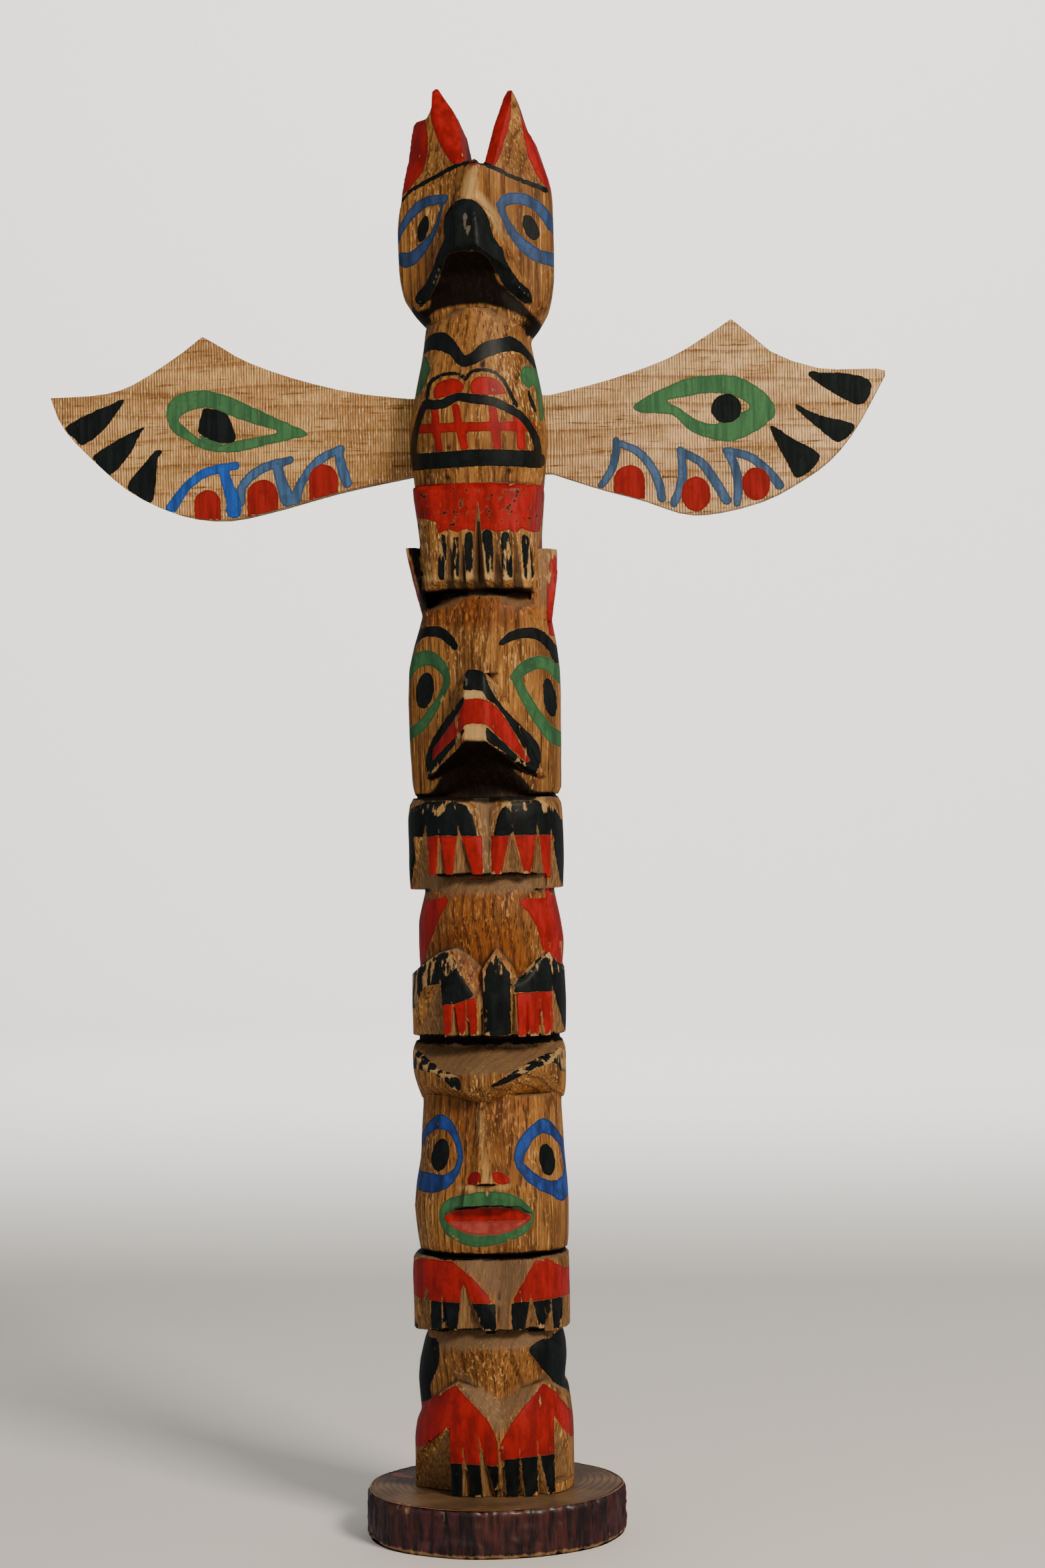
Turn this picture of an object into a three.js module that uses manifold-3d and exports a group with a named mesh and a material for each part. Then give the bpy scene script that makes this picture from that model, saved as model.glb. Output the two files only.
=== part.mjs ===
// A carved and painted souvenir totem pole of red cedar, about 61 cm tall: one log with a bird,
// a beaked head and a visored figure one above the other, two board wings and a log-slice base.
// Millimetres, +Z up. The figures look along -Y, the wings reach along -X and +X, and the origin
// is at the middle of the base's underside.
import * as THREE from 'three';
import { ConvexGeometry } from 'three/addons/geometries/ConvexGeometry.js';
import { mergeVertices } from 'three/addons/utils/BufferGeometryUtils.js';
import Module from 'manifold-3d';

const wasm = await Module();
wasm.setup();

// Driving dimensions
const poleHeight = 590;
const poleDiameter = 66;
const baseDiameter = 109;
const baseThickness = 20;
const barkChamfer = 1.4;
const wingThickness = 9;
const wingFront = 2;
const wingRootHeight = 33;
const wingRootMiddle = 443;
const leftWingReach = 185.5;
const rightWingReach = 171;
const tenonInnerEnd = 14;
const slotClearance = 0.3;

// The carving keeps its proportions: it is laid out on a log of these sizes, from the log's foot up,
// and follows the real pole's height and diameter. A front surface is read no nearer the side than
// edgeShare, and cutting shapes reach out to farOut or pastWood so that they clear the log.
const laidOut = { height: 590, diameter: 66 };
const rise = poleHeight / laidOut.height;
const girth = poleDiameter / laidOut.diameter;
const drawnRootHeight = 33;
const facesRound = 32;
const edgeShare = 0.985;
const farOut = 120;
const pastWood = 10;

// A place on the layout: across to the right, out towards the viewer, up from the log's foot.
function place([across, out, up]) {
  return new THREE.Vector3(across * girth, -out * girth, baseThickness + up * rise);
}

function solid(geometry) {
  const bare = geometry.clone();
  bare.deleteAttribute('normal');
  bare.deleteAttribute('uv');
  const merged = mergeVertices(bare, 1e-4);
  const vertProperties = new Float32Array(merged.attributes.position.array);
  const triVerts = new Uint32Array(merged.index.array);
  return new wasm.Manifold(new wasm.Mesh({ numProp: 3, vertProperties, triVerts }));
}

function geometryOf(manifold) {
  const mesh = manifold.getMesh();
  const geometry = new THREE.BufferGeometry();
  geometry.setAttribute('position', new THREE.BufferAttribute(new Float32Array(mesh.vertProperties), 3));
  geometry.setIndex(new THREE.BufferAttribute(new Uint32Array(mesh.triVerts), 1));
  return geometry;
}

function hull(points) {
  return solid(new ConvexGeometry(points.map(place)));
}

// A stretch of the log between level rows of [up, left, right, front, back], each row a rounded
// section with those four reaches. Squareness 2 is an ellipse, and more is boxier.
function block(rows, squareness = 2.15) {
  const vertices = [];
  const faces = [];
  const bend = 2 / squareness;
  const curved = (value) => Math.sign(value) * Math.abs(value) ** bend;
  rows.forEach(([up, left, right, front, back]) => {
    for (let i = 0; i < facesRound; i += 1) {
      const turn = (2 * Math.PI * i) / facesRound;
      const across = curved(Math.sin(turn));
      const out = curved(Math.cos(turn));
      const reach = [across * (across < 0 ? left : right), out * (out > 0 ? front : back), up];
      vertices.push(...place(reach).toArray());
    }
  });
  const top = (rows.length - 1) * facesRound;
  for (let i = 0; i < facesRound; i += 1) {
    const next = (i + 1) % facesRound;
    for (let row = 0; row < top; row += facesRound) {
      faces.push(row + i, row + next, row + facesRound + next);
      faces.push(row + i, row + facesRound + next, row + facesRound + i);
    }
    if (i > 0 && i < facesRound - 1) {
      faces.push(0, next, i);
      faces.push(top, top + i, top + next);
    }
  }
  const geometry = new THREE.BufferGeometry();
  geometry.setAttribute('position', new THREE.Float32BufferAttribute(vertices, 3));
  geometry.setIndex(faces);
  return { wood: solid(geometry), rows, squareness };
}

// How far a block's surface stands out at a place across and up.
function surfaceOf({ rows, squareness }, across, up) {
  const above = Math.max(1, rows.findIndex((row) => row[0] >= up));
  const [low, high] = [rows[above - 1], rows[above]];
  const share = THREE.MathUtils.clamp((up - low[0]) / (high[0] - low[0]), 0, 1);
  const reach = low.map((value, i) => THREE.MathUtils.lerp(value, high[i], share));
  const side = across < 0 ? reach[1] : reach[2];
  const part = Math.min(Math.abs(across) / side, edgeShare);
  return [part * side * Math.sign(across), reach[3] * (1 - part ** squareness) ** (1 / squareness), up];
}

// A flat knife facet through three places: all wood in front of it goes, within a window.
function facet([a, b, c], [left, right], [bottom, top]) {
  const plane = new THREE.Plane().setFromCoplanarPoints(...[a, b, c].map((p) => new THREE.Vector3(...p)));
  const { normal, constant } = plane;
  const corners = [[left, bottom], [right, bottom], [right, top], [left, top]];
  return hull(corners.flatMap(([across, up]) => {
    const out = -(normal.x * across + normal.z * up + constant) / normal.y;
    return [[across, Math.min(out, farOut - 1), up], [across, farOut, up]];
  }));
}

// A V cut that starts at nothing at its tip and widens and deepens downwards to its foot. The
// valley lies between the foot's two edges, near the one that is cut steeply.
function nick(body, { tip, foot: [left, right, up], valley = 0.5, depth = 3 }) {
  const start = surfaceOf(body, tip[0], tip[1]);
  const edges = [left, right].map((across) => surfaceOf(body, across, up));
  const middle = surfaceOf(body, THREE.MathUtils.lerp(left, right, valley), up);
  const inward = new THREE.Vector2(middle[0], middle[1]).setLength(-depth);
  const deep = new THREE.Vector3(middle[0] + inward.x, middle[1] + inward.y, up);
  const pastSurface = 1.6;
  const overTipBy = 3;
  const outer = edges.map((edge) => {
    const reach = new THREE.Vector3(...edge).sub(deep).multiplyScalar(pastSurface).add(deep);
    return reach.toArray();
  });
  const clear = new THREE.Vector2(start[0], start[1]).setLength(overTipBy);
  const overTip = [start[0] + clear.x, start[1] + clear.y, tip[1]];
  return hull([start, overTip, deep.toArray(), ...outer]);
}

// Wood inside an outline drawn from the front, all the way through the log.
function outlined(points) {
  const shape = new THREE.Shape(points.map(([across, up]) => {
    const spot = place([across, 0, up]);
    return new THREE.Vector2(spot.x, spot.z);
  }));
  const depth = 2 * poleDiameter;
  const geometry = new THREE.ExtrudeGeometry(shape, { depth, bevelEnabled: false });
  geometry.rotateX(Math.PI / 2);
  geometry.translate(0, depth / 2, 0);
  return solid(geometry);
}

function joined(solids) {
  return solids.reduce((whole, next) => whole.add(next));
}

function carved(wood, cuts) {
  return cuts.reduce((rest, cut) => rest.subtract(cut), wood);
}

// The plain log: behind, it is the whole blank, and in front it shows only deep in the notches. The
// three narrow notches between the figures are cut less deep at the sides, where it is wider.
function core() {
  const rows = [
    [0, 24, 26, 19, 33],
    [97, 24, 26, 19, 33],
    [98.4, 29.4, 29.6, 19, 33],
    [101.2, 29.4, 29.6, 19, 33],
    [103, 24, 27, 19, 33],
    [186.8, 24, 27, 18, 33],
    [187.6, 29.6, 30.2, 18, 33],
    [190.6, 29.6, 30.2, 18, 33],
    [192, 24, 27, 18, 33],
    [288.6, 23, 26, 19, 33],
    [289.8, 28.8, 29.8, 19, 33],
    [291.2, 28.8, 29.8, 19, 33],
    [292.6, 23, 26, 19, 33],
    [365, 22, 25, 19, 33],
    [420, 25, 25, 19, 33],
    [486, 20.5, 20.5, 18, 32],
    [545, 25, 27, 18, 33],
  ];
  return block(rows).wood;
}

function feet() {
  const body = block([
    [0, 34, 33.4, 28, 31],
    [21, 34, 33.6, 30, 31],
    [28, 33, 33.4, 30.4, 31],
    [36, 30, 32.4, 29.6, 31],
    [58, 26, 30, 27, 31],
  ], 2.4);
  const arches = outlined([
    [-36, -1], [-36, 21], [-33, 28], [-29.6, 34], [-25.3, 38.6], [-18, 44], [-12.4, 47.6],
    [5.4, 41.4], [23.3, 47.2], [26, 46], [30.4, 41], [32.6, 35], [36, 24], [36, -1],
  ]);
  const claws = [
    { tip: [-16, 29.3], foot: [-34, -15.6, 0], valley: 0.97, depth: 9 },
    { tip: [-10.3, 25], foot: [-11.2, -6.9, 0], valley: 0.7 },
    { tip: [-3.9, 27.9], foot: [-2.6, 3.4, 0], valley: 0.75 },
    { tip: [4.6, 27.5], foot: [3.8, 5.6, 0], depth: 2.5 },
    { tip: [6.6, 27.5], foot: [5.6, 7.8, 0], depth: 2.5 },
    { tip: [13.3, 23.6], foot: [12.4, 15.4, 0] },
    { tip: [20.4, 25], foot: [20.2, 24.6, 0], valley: 0.6 },
    { tip: [26.9, 32.5], foot: [26.8, 33.3, 5], valley: 0.1, depth: 4 },
  ];
  const shoulders = [
    facet([[-13.9, 23, 55], [5.4, 22.5, 41.4], [-2, 29.8, 36]], [-14, 5.4], [26, 58]),
    facet([[24.7, 20, 51.4], [5.4, 22.5, 41.4], [13, 28.2, 34.5]], [5.4, 25], [26, 58]),
  ];
  return carved(body.wood.intersect(arches), [...shoulders, ...claws.map((claw) => nick(body, claw))]);
}

function lowerWaist() {
  return block([
    [30, 31, 29, 22, 31],
    [41, 32, 29.8, 24, 31],
    [46, 32.2, 30.2, 24.5, 31],
    [54, 31.4, 31.1, 26.6, 31],
    [61.5, 29.6, 30.7, 28.8, 31],
    [68, 27.2, 28.6, 24, 31],
    [71, 25, 27, 22, 31],
  ]).wood;
}

function hands() {
  const body = block([
    [67.5, 33.4, 32.8, 30.6, 31],
    [92, 33.7, 32.8, 31.2, 31],
    [97.4, 33.2, 32.6, 30.4, 31],
    [99, 31.6, 31, 28.6, 31],
  ], 2.4);
  const fingers = [
    { tip: [-24.8, 89.5], foot: [-31, -23.4, 66], valley: 0.95, depth: 6 },
    { tip: [-18.5, 88.6], foot: [-18.8, -15.4, 66], valley: 0.7 },
    { tip: [-9.3, 90.7], foot: [-12.4, 0.6, 66], valley: 0.85, depth: 4.5 },
    { tip: [19, 85.7], foot: [15.6, 23, 66], valley: 0.7, depth: 4 },
    { tip: [26.9, 84], foot: [23.6, 27.6, 66], valley: 0.6 },
    { tip: [31, 82], foot: [29.6, 33, 66], valley: 0.3 },
  ];
  const insides = [
    facet([[-10, 30.6, 98.5], [5.4, 24.5, 99], [3.4, 29.6, 80]], [-24, 5.4], [64, 101]),
    facet([[21, 27.4, 98.5], [5.4, 24.5, 99], [11.8, 28.4, 82]], [5.4, 30], [64, 101]),
  ];
  const belowClaws = hull([
    [-23.4, 21, 66], [27, 21, 66], [-23.4, 21, 69.3], [27, 21, 69.3],
    [-23.4, 40, 66], [27, 40, 66], [-23.4, 40, 69.3], [27, 40, 69.3],
  ]);
  return carved(body.wood, [...insides, belowClaws, ...fingers.map((finger) => nick(body, finger))]);
}

function lowFace() {
  const body = block([
    [100.5, 30.4, 32.2, 28.6, 31],
    [103, 31, 32.6, 29.2, 31],
    [118, 32.8, 33, 29.4, 31],
    [128, 31.8, 32.6, 28.6, 31],
    [138, 29.8, 31.6, 27.6, 31],
    [146, 29.4, 31.2, 27, 31],
    [155, 28.8, 30.8, 26.6, 31],
    [166, 28.2, 30.4, 26, 31],
  ]);
  const besideNose = [
    facet([[0.3, 25.6, 164], [-15, 21.4, 164], [0.3, 29.4, 127]], [-34, 0.3], [104, 167]),
    facet([[0.3, 25.6, 164], [16, 21.8, 164], [0.3, 29.4, 127]], [0.3, 36], [104, 167]),
  ];
  const nose = hull([
    [-0.8, 27, 164], [1.4, 27, 164], [-2, 32.4, 130], [4, 32.4, 130],
    [-7, 26, 130], [11, 26, 130], [-7, 20, 130], [11, 20, 130], [0, 20, 164],
  ]);
  const upperLip = hull([
    [-7.5, 29.8, 129.6], [10.4, 29.4, 129.6], [-8.6, 30.4, 120.8], [11, 30, 120.8],
    [-7.5, 20, 129.6], [10.4, 20, 129.6], [-8.6, 20, 120.8], [11, 20, 120.8],
  ]);
  const mouth = hull([
    [-11, 25.4, 120.5], [14, 25, 120.5], [-17, 24.6, 117], [20.4, 23.8, 117],
    [-9, 29.3, 109.2], [10, 29.3, 109.2], [-11, 40, 120.5], [14, 40, 120.5],
    [-17, 40, 117], [20.4, 40, 117], [-9, 40, 109.2], [10, 40, 109.2],
  ]);
  return carved(joined([carved(body.wood, besideNose), nose, upperLip]), [mouth]);
}

function visor() {
  const body = block([
    [163.6, 28.8, 31.8, 27, 31],
    [166, 29.6, 32.5, 31, 31],
    [170, 31, 32.8, 33, 31],
    [175, 32.4, 32.8, 33.4, 31],
    [184, 32.3, 32.8, 33.2, 31],
    [187.6, 31, 31.4, 32, 31],
  ]);
  const top = [
    facet([[-20, 33.4, 175.8], [20, 33.4, 175.8], [0, 17.5, 188]], [-36, 36], [174, 189]),
    facet([[-8, 32, 176], [-29, 12, 183.6], [0, 16, 188.2]], [-36, -2], [174, 189]),
    facet([[8, 32, 176.4], [30, 12, 183.4], [0, 16, 188.2]], [2, 36], [174, 189]),
  ];
  const under = [
    facet([[-1, 27, 163.8], [-30, 4, 163.8], [-11, 31.4, 169.3]], [-38, -1], [162, 178]),
    facet([[2, 27, 163.8], [34, 2, 163.8], [14, 29.9, 175]], [2, 38], [162, 181]),
  ];
  return carved(body.wood, [...top, ...under]);
}

function lowerPaws() {
  const body = block([
    [190.5, 32, 32.8, 30, 31],
    [205, 32.3, 33, 30.4, 31],
    [216, 32, 32.8, 30, 31],
    [222, 30.6, 32, 29.2, 31],
    [229, 28, 30, 27.6, 31],
  ], 2.4);
  const arches = outlined([
    [-36, 189], [-36, 213], [-28.9, 218], [-24, 221.5], [-18, 225.5], [-10, 227.8], [-4.5, 224.5],
    [0.9, 219], [6.9, 228], [13.2, 220], [16, 213.5], [22, 220], [27.6, 225.2], [31, 219.5],
    [36, 212], [36, 189],
  ]);
  const claws = [
    { tip: [-16.5, 215.7], foot: [-29.6, -15.8, 189], valley: 0.96, depth: 6 },
    { tip: [-11.9, 211], foot: [-12.6, -9, 189], valley: 0.8 },
    { tip: [-6, 210], foot: [-6.6, -4, 189], valley: 0.7 },
    { tip: [0.9, 221], foot: [-0.8, 1.8, 189], depth: 3.6 },
    { tip: [14.2, 220], foot: [12.6, 15.8, 189], depth: 3.6 },
    { tip: [19.4, 211], foot: [18.8, 20.6, 189], depth: 2.4 },
    { tip: [24.3, 211], foot: [24, 26, 189], depth: 2.4 },
    { tip: [28.6, 214], foot: [28.2, 33, 189], valley: 0.15, depth: 4 },
  ];
  const shoulders = [
    facet([[-10, 26, 227.6], [0.9, 25, 219], [-1.5, 29.8, 206]], [-14, 0.9], [200, 230]),
    facet([[27, 19, 225.4], [14, 25.6, 216], [17, 28.4, 210]], [13.6, 28.5], [204, 230]),
  ];
  return carved(body.wood.intersect(arches), [...shoulders, ...claws.map((claw) => nick(body, claw))]);
}

function upperWaist() {
  return block([
    [214, 28, 31, 23.5, 31],
    [222, 29, 32.2, 24.2, 31],
    [229, 29.2, 32.8, 25, 31],
    [238, 29, 31.6, 27, 31],
    [242, 28.3, 30.8, 28, 31],
    [250.5, 26.2, 29, 27, 31],
    [258, 24, 27.4, 22, 31],
  ]).wood;
}

function upperPaws() {
  const body = block([
    [251.6, 32.4, 32.8, 29, 31],
    [258, 32.8, 33, 30.2, 31],
    [282, 32.8, 33, 30.4, 31],
    [287, 32.2, 32.6, 29.6, 31],
    [290, 30.4, 31, 28, 31],
  ], 2.4);
  const claws = [
    { tip: [-22, 281], foot: [-31, -20.8, 249], valley: 0.93, depth: 6.5 },
    { tip: [-16.4, 279.6], foot: [-18.2, -13.6, 257], valley: 0.8 },
    { tip: [-8.1, 279.6], foot: [-11, -2, 257], valley: 0.85, depth: 4 },
    { tip: [14.4, 279.3], foot: [9.2, 19.2, 257], valley: 0.5, depth: 4 },
    { tip: [24.4, 281], foot: [21, 26.6, 257], valley: 0.5, depth: 3.6 },
    { tip: [29.2, 278], foot: [28, 33, 249], valley: 0.2, depth: 4 },
  ];
  const insides = [
    facet([[-3, 29.6, 289], [4.6, 25, 290], [3, 29.6, 262]], [-14, 4.6], [256, 291]),
    facet([[11.5, 28.8, 289], [4.6, 25, 290], [6, 29.4, 262]], [4.6, 20], [256, 291]),
  ];
  const belowClaws = hull([
    [-21.5, 20, 250], [27.4, 18, 250], [-21.5, 20, 258], [27.4, 18, 258],
    [-21.5, 40, 250], [27.4, 40, 250], [-21.5, 40, 258], [27.4, 40, 258],
  ]);
  return carved(body.wood, [...insides, belowClaws, ...claws.map((claw) => nick(body, claw))]);
}

function beakedHead() {
  const body = block([
    [291, 29.8, 31.4, 26.6, 31],
    [294, 30.8, 32.8, 27.4, 31],
    [316, 32, 33, 28.6, 31],
    [331, 32.2, 33, 28.8, 31],
    [344, 31.6, 32.8, 28.6, 31],
    [354, 29.2, 31.6, 27.8, 31],
    [361, 27, 30.4, 27, 31],
    [368.8, 24.8, 28.7, 25.6, 31],
    [372, 17.5, 24.6, 25, 31],
    [375.4, 10.5, 17, 24, 31],
  ]);
  const cheeks = [
    facet([[-1, 27.2, 335], [-28, 12.5, 335], [-1, 28.4, 368]], [-36, 0.8], [289, 376]),
    facet([[2.6, 27.2, 335], [31, 13.5, 335], [2.6, 28.6, 368]], [0.8, 36], [289, 376]),
  ];
  const noseBridge = hull([
    [2.2, 25.6, 374], [9.7, 25.2, 374], [2.2, 29.8, 341.5], [9.7, 29.4, 341.5],
    [2.2, 19, 374], [9.7, 19, 374], [2.2, 19, 341.5], [9.7, 19, 341.5],
  ]);
  const beak = hull([
    [-3.2, 28.6, 342.5], [3.6, 28.6, 342.5], [-4.5, 33.6, 330], [4.5, 33.6, 330],
    [-4.5, 34.2, 313], [4.5, 34.2, 313], [-9, 25.6, 336], [10, 25.6, 336],
    [-23, 16.5, 298], [27.5, 15.5, 298], [-23, 8, 298], [27.5, 8, 298], [0, 8, 342],
  ]);
  const under = [
    facet([[-20, 34.4, 313.4], [20, 34, 313.4], [0, 23, 303]], [-36, 36], [303, 313.4]),
    facet([[-20, 23.4, 303], [20, 22.4, 303], [0, 16.4, 290]], [-36, 36], [289, 303.01]),
  ];
  return carved(joined([carved(body.wood, cheeks), noseBridge, beak]), under);
}

// The pointed ears that stand out at both sides of the beaked head, up behind the tail.
function sideEars() {
  const left = hull([
    [-31.4, 6, 395], [-28.8, -4, 395], [-25, -4, 395], [-25, 18, 395], [-30.2, 18, 395],
    [-29.8, 10, 388], [-28, 8, 379], [-24, 6, 363], [-20, -2, 364], [-20, 18, 364],
  ]);
  const right = hull([
    [22, 11, 394], [31.2, 8, 394], [32.8, 2, 394], [30.5, -16, 394], [22, -16, 394],
    [22, 13, 372], [32.2, 10, 375], [33, 5, 383], [30.6, 6, 363], [28, 12, 364], [22, -14, 362],
  ]);
  return left.add(right);
}

function tail() {
  const body = block([
    [375.4, 22.4, 24.4, 30.4, 30],
    [381, 23, 24.8, 31, 30],
    [404, 25.4, 25.2, 31.2, 30],
    [417.4, 27.2, 26.4, 31.2, 30],
    [419.8, 27.4, 26.6, 28.8, 30],
  ], 4.2);
  const feathers = [
    { tip: [-9.6, 403.6], foot: [-11, -7.6, 374] },
    { tip: [-4.4, 403], foot: [-5.6, -2.6, 374] },
    { tip: [2.2, 416], foot: [0.2, 4.8, 374], depth: 4.4 },
    { tip: [9.7, 402.5], foot: [8, 12.6, 374], valley: 0.6 },
    { tip: [17.4, 401.8], foot: [15.8, 20.4, 374] },
  ];
  const under = facet([[-20, 31.4, 381], [20, 31.4, 380], [0, 21.4, 375]], [-36, 36], [372, 382]);
  return carved(body.wood, [under, ...feathers.map((feather) => nick(body, feather))]);
}

function belly() {
  return block([
    [418, 27.4, 27, 28.4, 31],
    [429, 28.8, 28.4, 29.4, 31],
    [436, 29.3, 29, 29.9, 31],
    [444, 29.6, 29, 30.1, 31],
    [451, 28.8, 28.4, 29.8, 31],
    [459, 27.2, 27.2, 29.1, 31],
    [467, 25.6, 25.8, 28.2, 31],
    [474, 24.1, 24.2, 27.2, 31],
    [481, 23, 22.8, 26, 31],
    [487, 22.4, 21.9, 25, 31],
    [491, 17.4, 17.4, 24.4, 31],
    [493.8, 8, 11, 23.8, 31],
  ]).wood;
}

// The wood that is sawn off behind the ears, so that they come to points seen from the side.
function woodBehindEars() {
  return hull([
    [-40, -31, 550], [40, -31, 550], [-40, -6, 592], [40, -6, 592],
    [-40, -60, 550], [40, -60, 550], [-40, -60, 592], [40, -60, 592],
  ]);
}

function topHead() {
  const body = block([
    [483, 19.6, 22.6, 19, 31],
    [487, 20.8, 26.2, 21, 31],
    [494, 27.2, 30.4, 24, 31],
    [500, 31, 32, 26, 31],
    [506, 32.6, 32.8, 27.4, 31],
    [512, 33.4, 33, 28.4, 31],
    [530, 33.7, 33, 29, 31],
    [541, 32.4, 33, 28.6, 31],
    [555, 30.6, 31.4, 27.4, 30],
    [572, 28, 27.6, 24, 26],
    [591, 25, 24, 20, 20],
  ]);
  const cheeks = [
    facet([[0, 27, 551], [-29, 11, 541], [0, 26.4, 512]], [-40, 1.5], [480, 600]),
    facet([[3, 27, 552], [32, 9.5, 544], [3, 26.4, 512]], [1.5, 40], [480, 600]),
  ];
  const ridge = hull([
    [0.5, 27, 554.6], [5.4, 27, 554.6], [-5, 29.8, 537], [4, 29.8, 537],
    [-10, 22, 528], [10, 22, 528], [-4, 18, 554.6], [9, 18, 554.6],
  ]);
  const beak = hull([
    [-4, 30, 537.4], [4, 30, 537.4], [-5, 33.8, 531], [3.6, 33.8, 531], [-5, 34.4, 517.6],
    [4.4, 34.4, 517.6], [-10.4, 26, 531], [10.4, 26, 531], [-10.6, 28, 517], [11.4, 28, 517],
    [-23.6, 15, 497], [25.6, 15, 496], [-23, 8, 497], [25, 8, 496], [0, 8, 537],
  ]);
  const under = [
    facet([[-20, 35, 518], [20, 35, 518], [0, 22.6, 508.4]], [-36, 36], [508.4, 518]),
    facet([[-20, 22.6, 508.4], [20, 22.6, 508.4], [0, 18.6, 491]], [-36, 36], [482, 508.41]),
  ];
  const earFronts = [
    facet([[3, 26.8, 555], [-29, 11.4, 542], [-15.6, 6, 588]], [-40, 3], [538, 600]),
    facet([[3, 26.8, 555], [32, 9.6, 545], [18, 5, 586]], [3, 40], [538, 600]),
  ];
  const earOutline = outlined([
    [-40, 480], [-40, 536], [-31.4, 540], [-29.7, 551.6], [-28, 558.6], [-26.8, 570.6], [-26.2, 574.5],
    [-24.6, 576.2], [-20, 576.3], [-18.9, 578], [-17.8, 580.7], [-17.8, 588.8], [-16.8, 590],
    [-15.2, 590], [-13.4, 587], [-8.4, 579.6], [-4.9, 571.2], [-3.4, 561.3], [-2.4, 556.6],
    [-1, 554.4], [2.8, 555], [5.7, 553.8], [6.5, 557.7], [9.3, 572], [12.8, 584.3], [14.4, 587.4],
    [16.7, 587.5], [18.1, 584.3], [21.3, 573.4], [22.9, 570], [24.9, 567.5], [27, 562], [31.5, 549.2],
    [33.4, 542], [40, 538], [40, 480],
  ]);
  const earFaces = [
    facet([[-17.8, 6.6, 581], [-6.5, 22.4, 554], [-4, 14, 566]], [-18.5, -1], [552, 596]),
    facet([[-20, 6.8, 576], [-20.5, 15, 555], [-27.5, 3, 566]], [-33, -18], [545, 578]),
    facet([[16.5, 5.6, 586], [10, 21.4, 554.5], [8, 13.6, 566]], [4, 17], [553, 596]),
    facet([[22.6, 7, 570], [28, 12, 549], [28.8, 5, 557]], [22, 36], [543, 571]),
  ];
  const face = joined([carved(body.wood, cheeks), ridge, beak]);
  return carved(face, [...under, ...earFronts, ...earFaces, woodBehindEars()]).intersect(earOutline);
}

// Wing outlines: distance out from the pole's axis and height over the root's middle, drawn for a
// root as high as drawnRootHeight. The peak and the tip are corners, and the runs between them are smooth.
const leftWing = {
  reach: leftWingReach,
  drawnReach: 185.5,
  side: -1,
  inner: [[30, 16.5], [54, 19.8], [79, 26.4], [100, 34.4], [112, 41.6], [118.9, 45.6]],
  outer: [[118.9, 45.6], [130, 37.4], [149.4, 25.8], [164, 21.9], [185.5, 21.2]],
  lower: [
    [185.5, 21.2], [180, 7.8], [166.7, -6.7], [150.6, -20.6], [130.6, -30.2],
    [110.6, -33.1], [89.4, -29.5], [60, -22.1], [30, -16.5],
  ],
};
const rightWing = {
  reach: rightWingReach,
  drawnReach: 171,
  side: 1,
  inner: [[30, 16.5], [55.6, 22.4], [80, 30.5], [96.7, 39.8], [106.9, 46.4]],
  outer: [
    [106.9, 46.4], [115.6, 39.1], [125.6, 30.8], [143.3, 24.6], [155.6, 23.9], [169.4, 23.6],
    [171, 21.6],
  ],
  lower: [
    [171, 21.6], [158.9, 0], [147.8, -13.4], [135.6, -22], [120, -30], [100, -34.8],
    [85.6, -34.8], [68.9, -28.9], [50, -23.4], [30, -16.5],
  ],
};

function wing({ reach, drawnReach, side, inner, outer, lower }) {
  const along = reach / drawnReach;
  const tall = wingRootHeight / drawnRootHeight;
  const middle = place([0, 0, wingRootMiddle]).z;
  const drawn = ([out, up]) => new THREE.Vector2(side * out * along, middle + up * tall);
  const smooth = (points, steps) => new THREE.SplineCurve(points.map(drawn)).getPoints(steps);
  const half = wingRootHeight / 2;
  const outline = [
    new THREE.Vector2(side * tenonInnerEnd, middle - half),
    new THREE.Vector2(side * tenonInnerEnd, middle + half),
    ...smooth(inner, 12),
    ...smooth(outer, 10).slice(1),
    ...smooth(lower, 22).slice(1),
  ];
  const geometry = new THREE.ExtrudeGeometry(new THREE.Shape(outline), {
    depth: wingThickness,
    bevelEnabled: false,
  });
  geometry.rotateX(Math.PI / 2);
  geometry.translate(0, wingFront + wingThickness, 0);
  return geometry;
}

// The slot for a wing's root, larger than the board by the clearance all round.
function slot(side) {
  const half = wingRootHeight / 2 + slotClearance;
  const reach = poleDiameter / 2 + pastWood;
  const length = reach - tenonInnerEnd + slotClearance;
  const geometry = new THREE.BoxGeometry(length, wingThickness + 2 * slotClearance, 2 * half);
  const across = side * (reach - length / 2);
  geometry.translate(across, wingFront + wingThickness / 2, place([0, 0, wingRootMiddle]).z);
  return solid(geometry);
}

function pole() {
  const figures = [
    core(), feet(), lowerWaist(), hands(), lowFace(), visor(), lowerPaws(), upperWaist(),
    upperPaws(), beakedHead(), sideEars(), tail(), belly(), topHead(),
  ];
  return geometryOf(carved(joined(figures), [slot(-1), slot(1)]));
}

// A slice of log, not quite round, with its bark left on and both rims a little worn. Each bark wave
// is [times round, phase, share of the radius].
const barkWaves = [[2, 0.7, 0.011], [3, 2.1, 0.008], [7, 0, 0.004], [11, 1.3, 0.003]];
const barkWear = 0.3;

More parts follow.
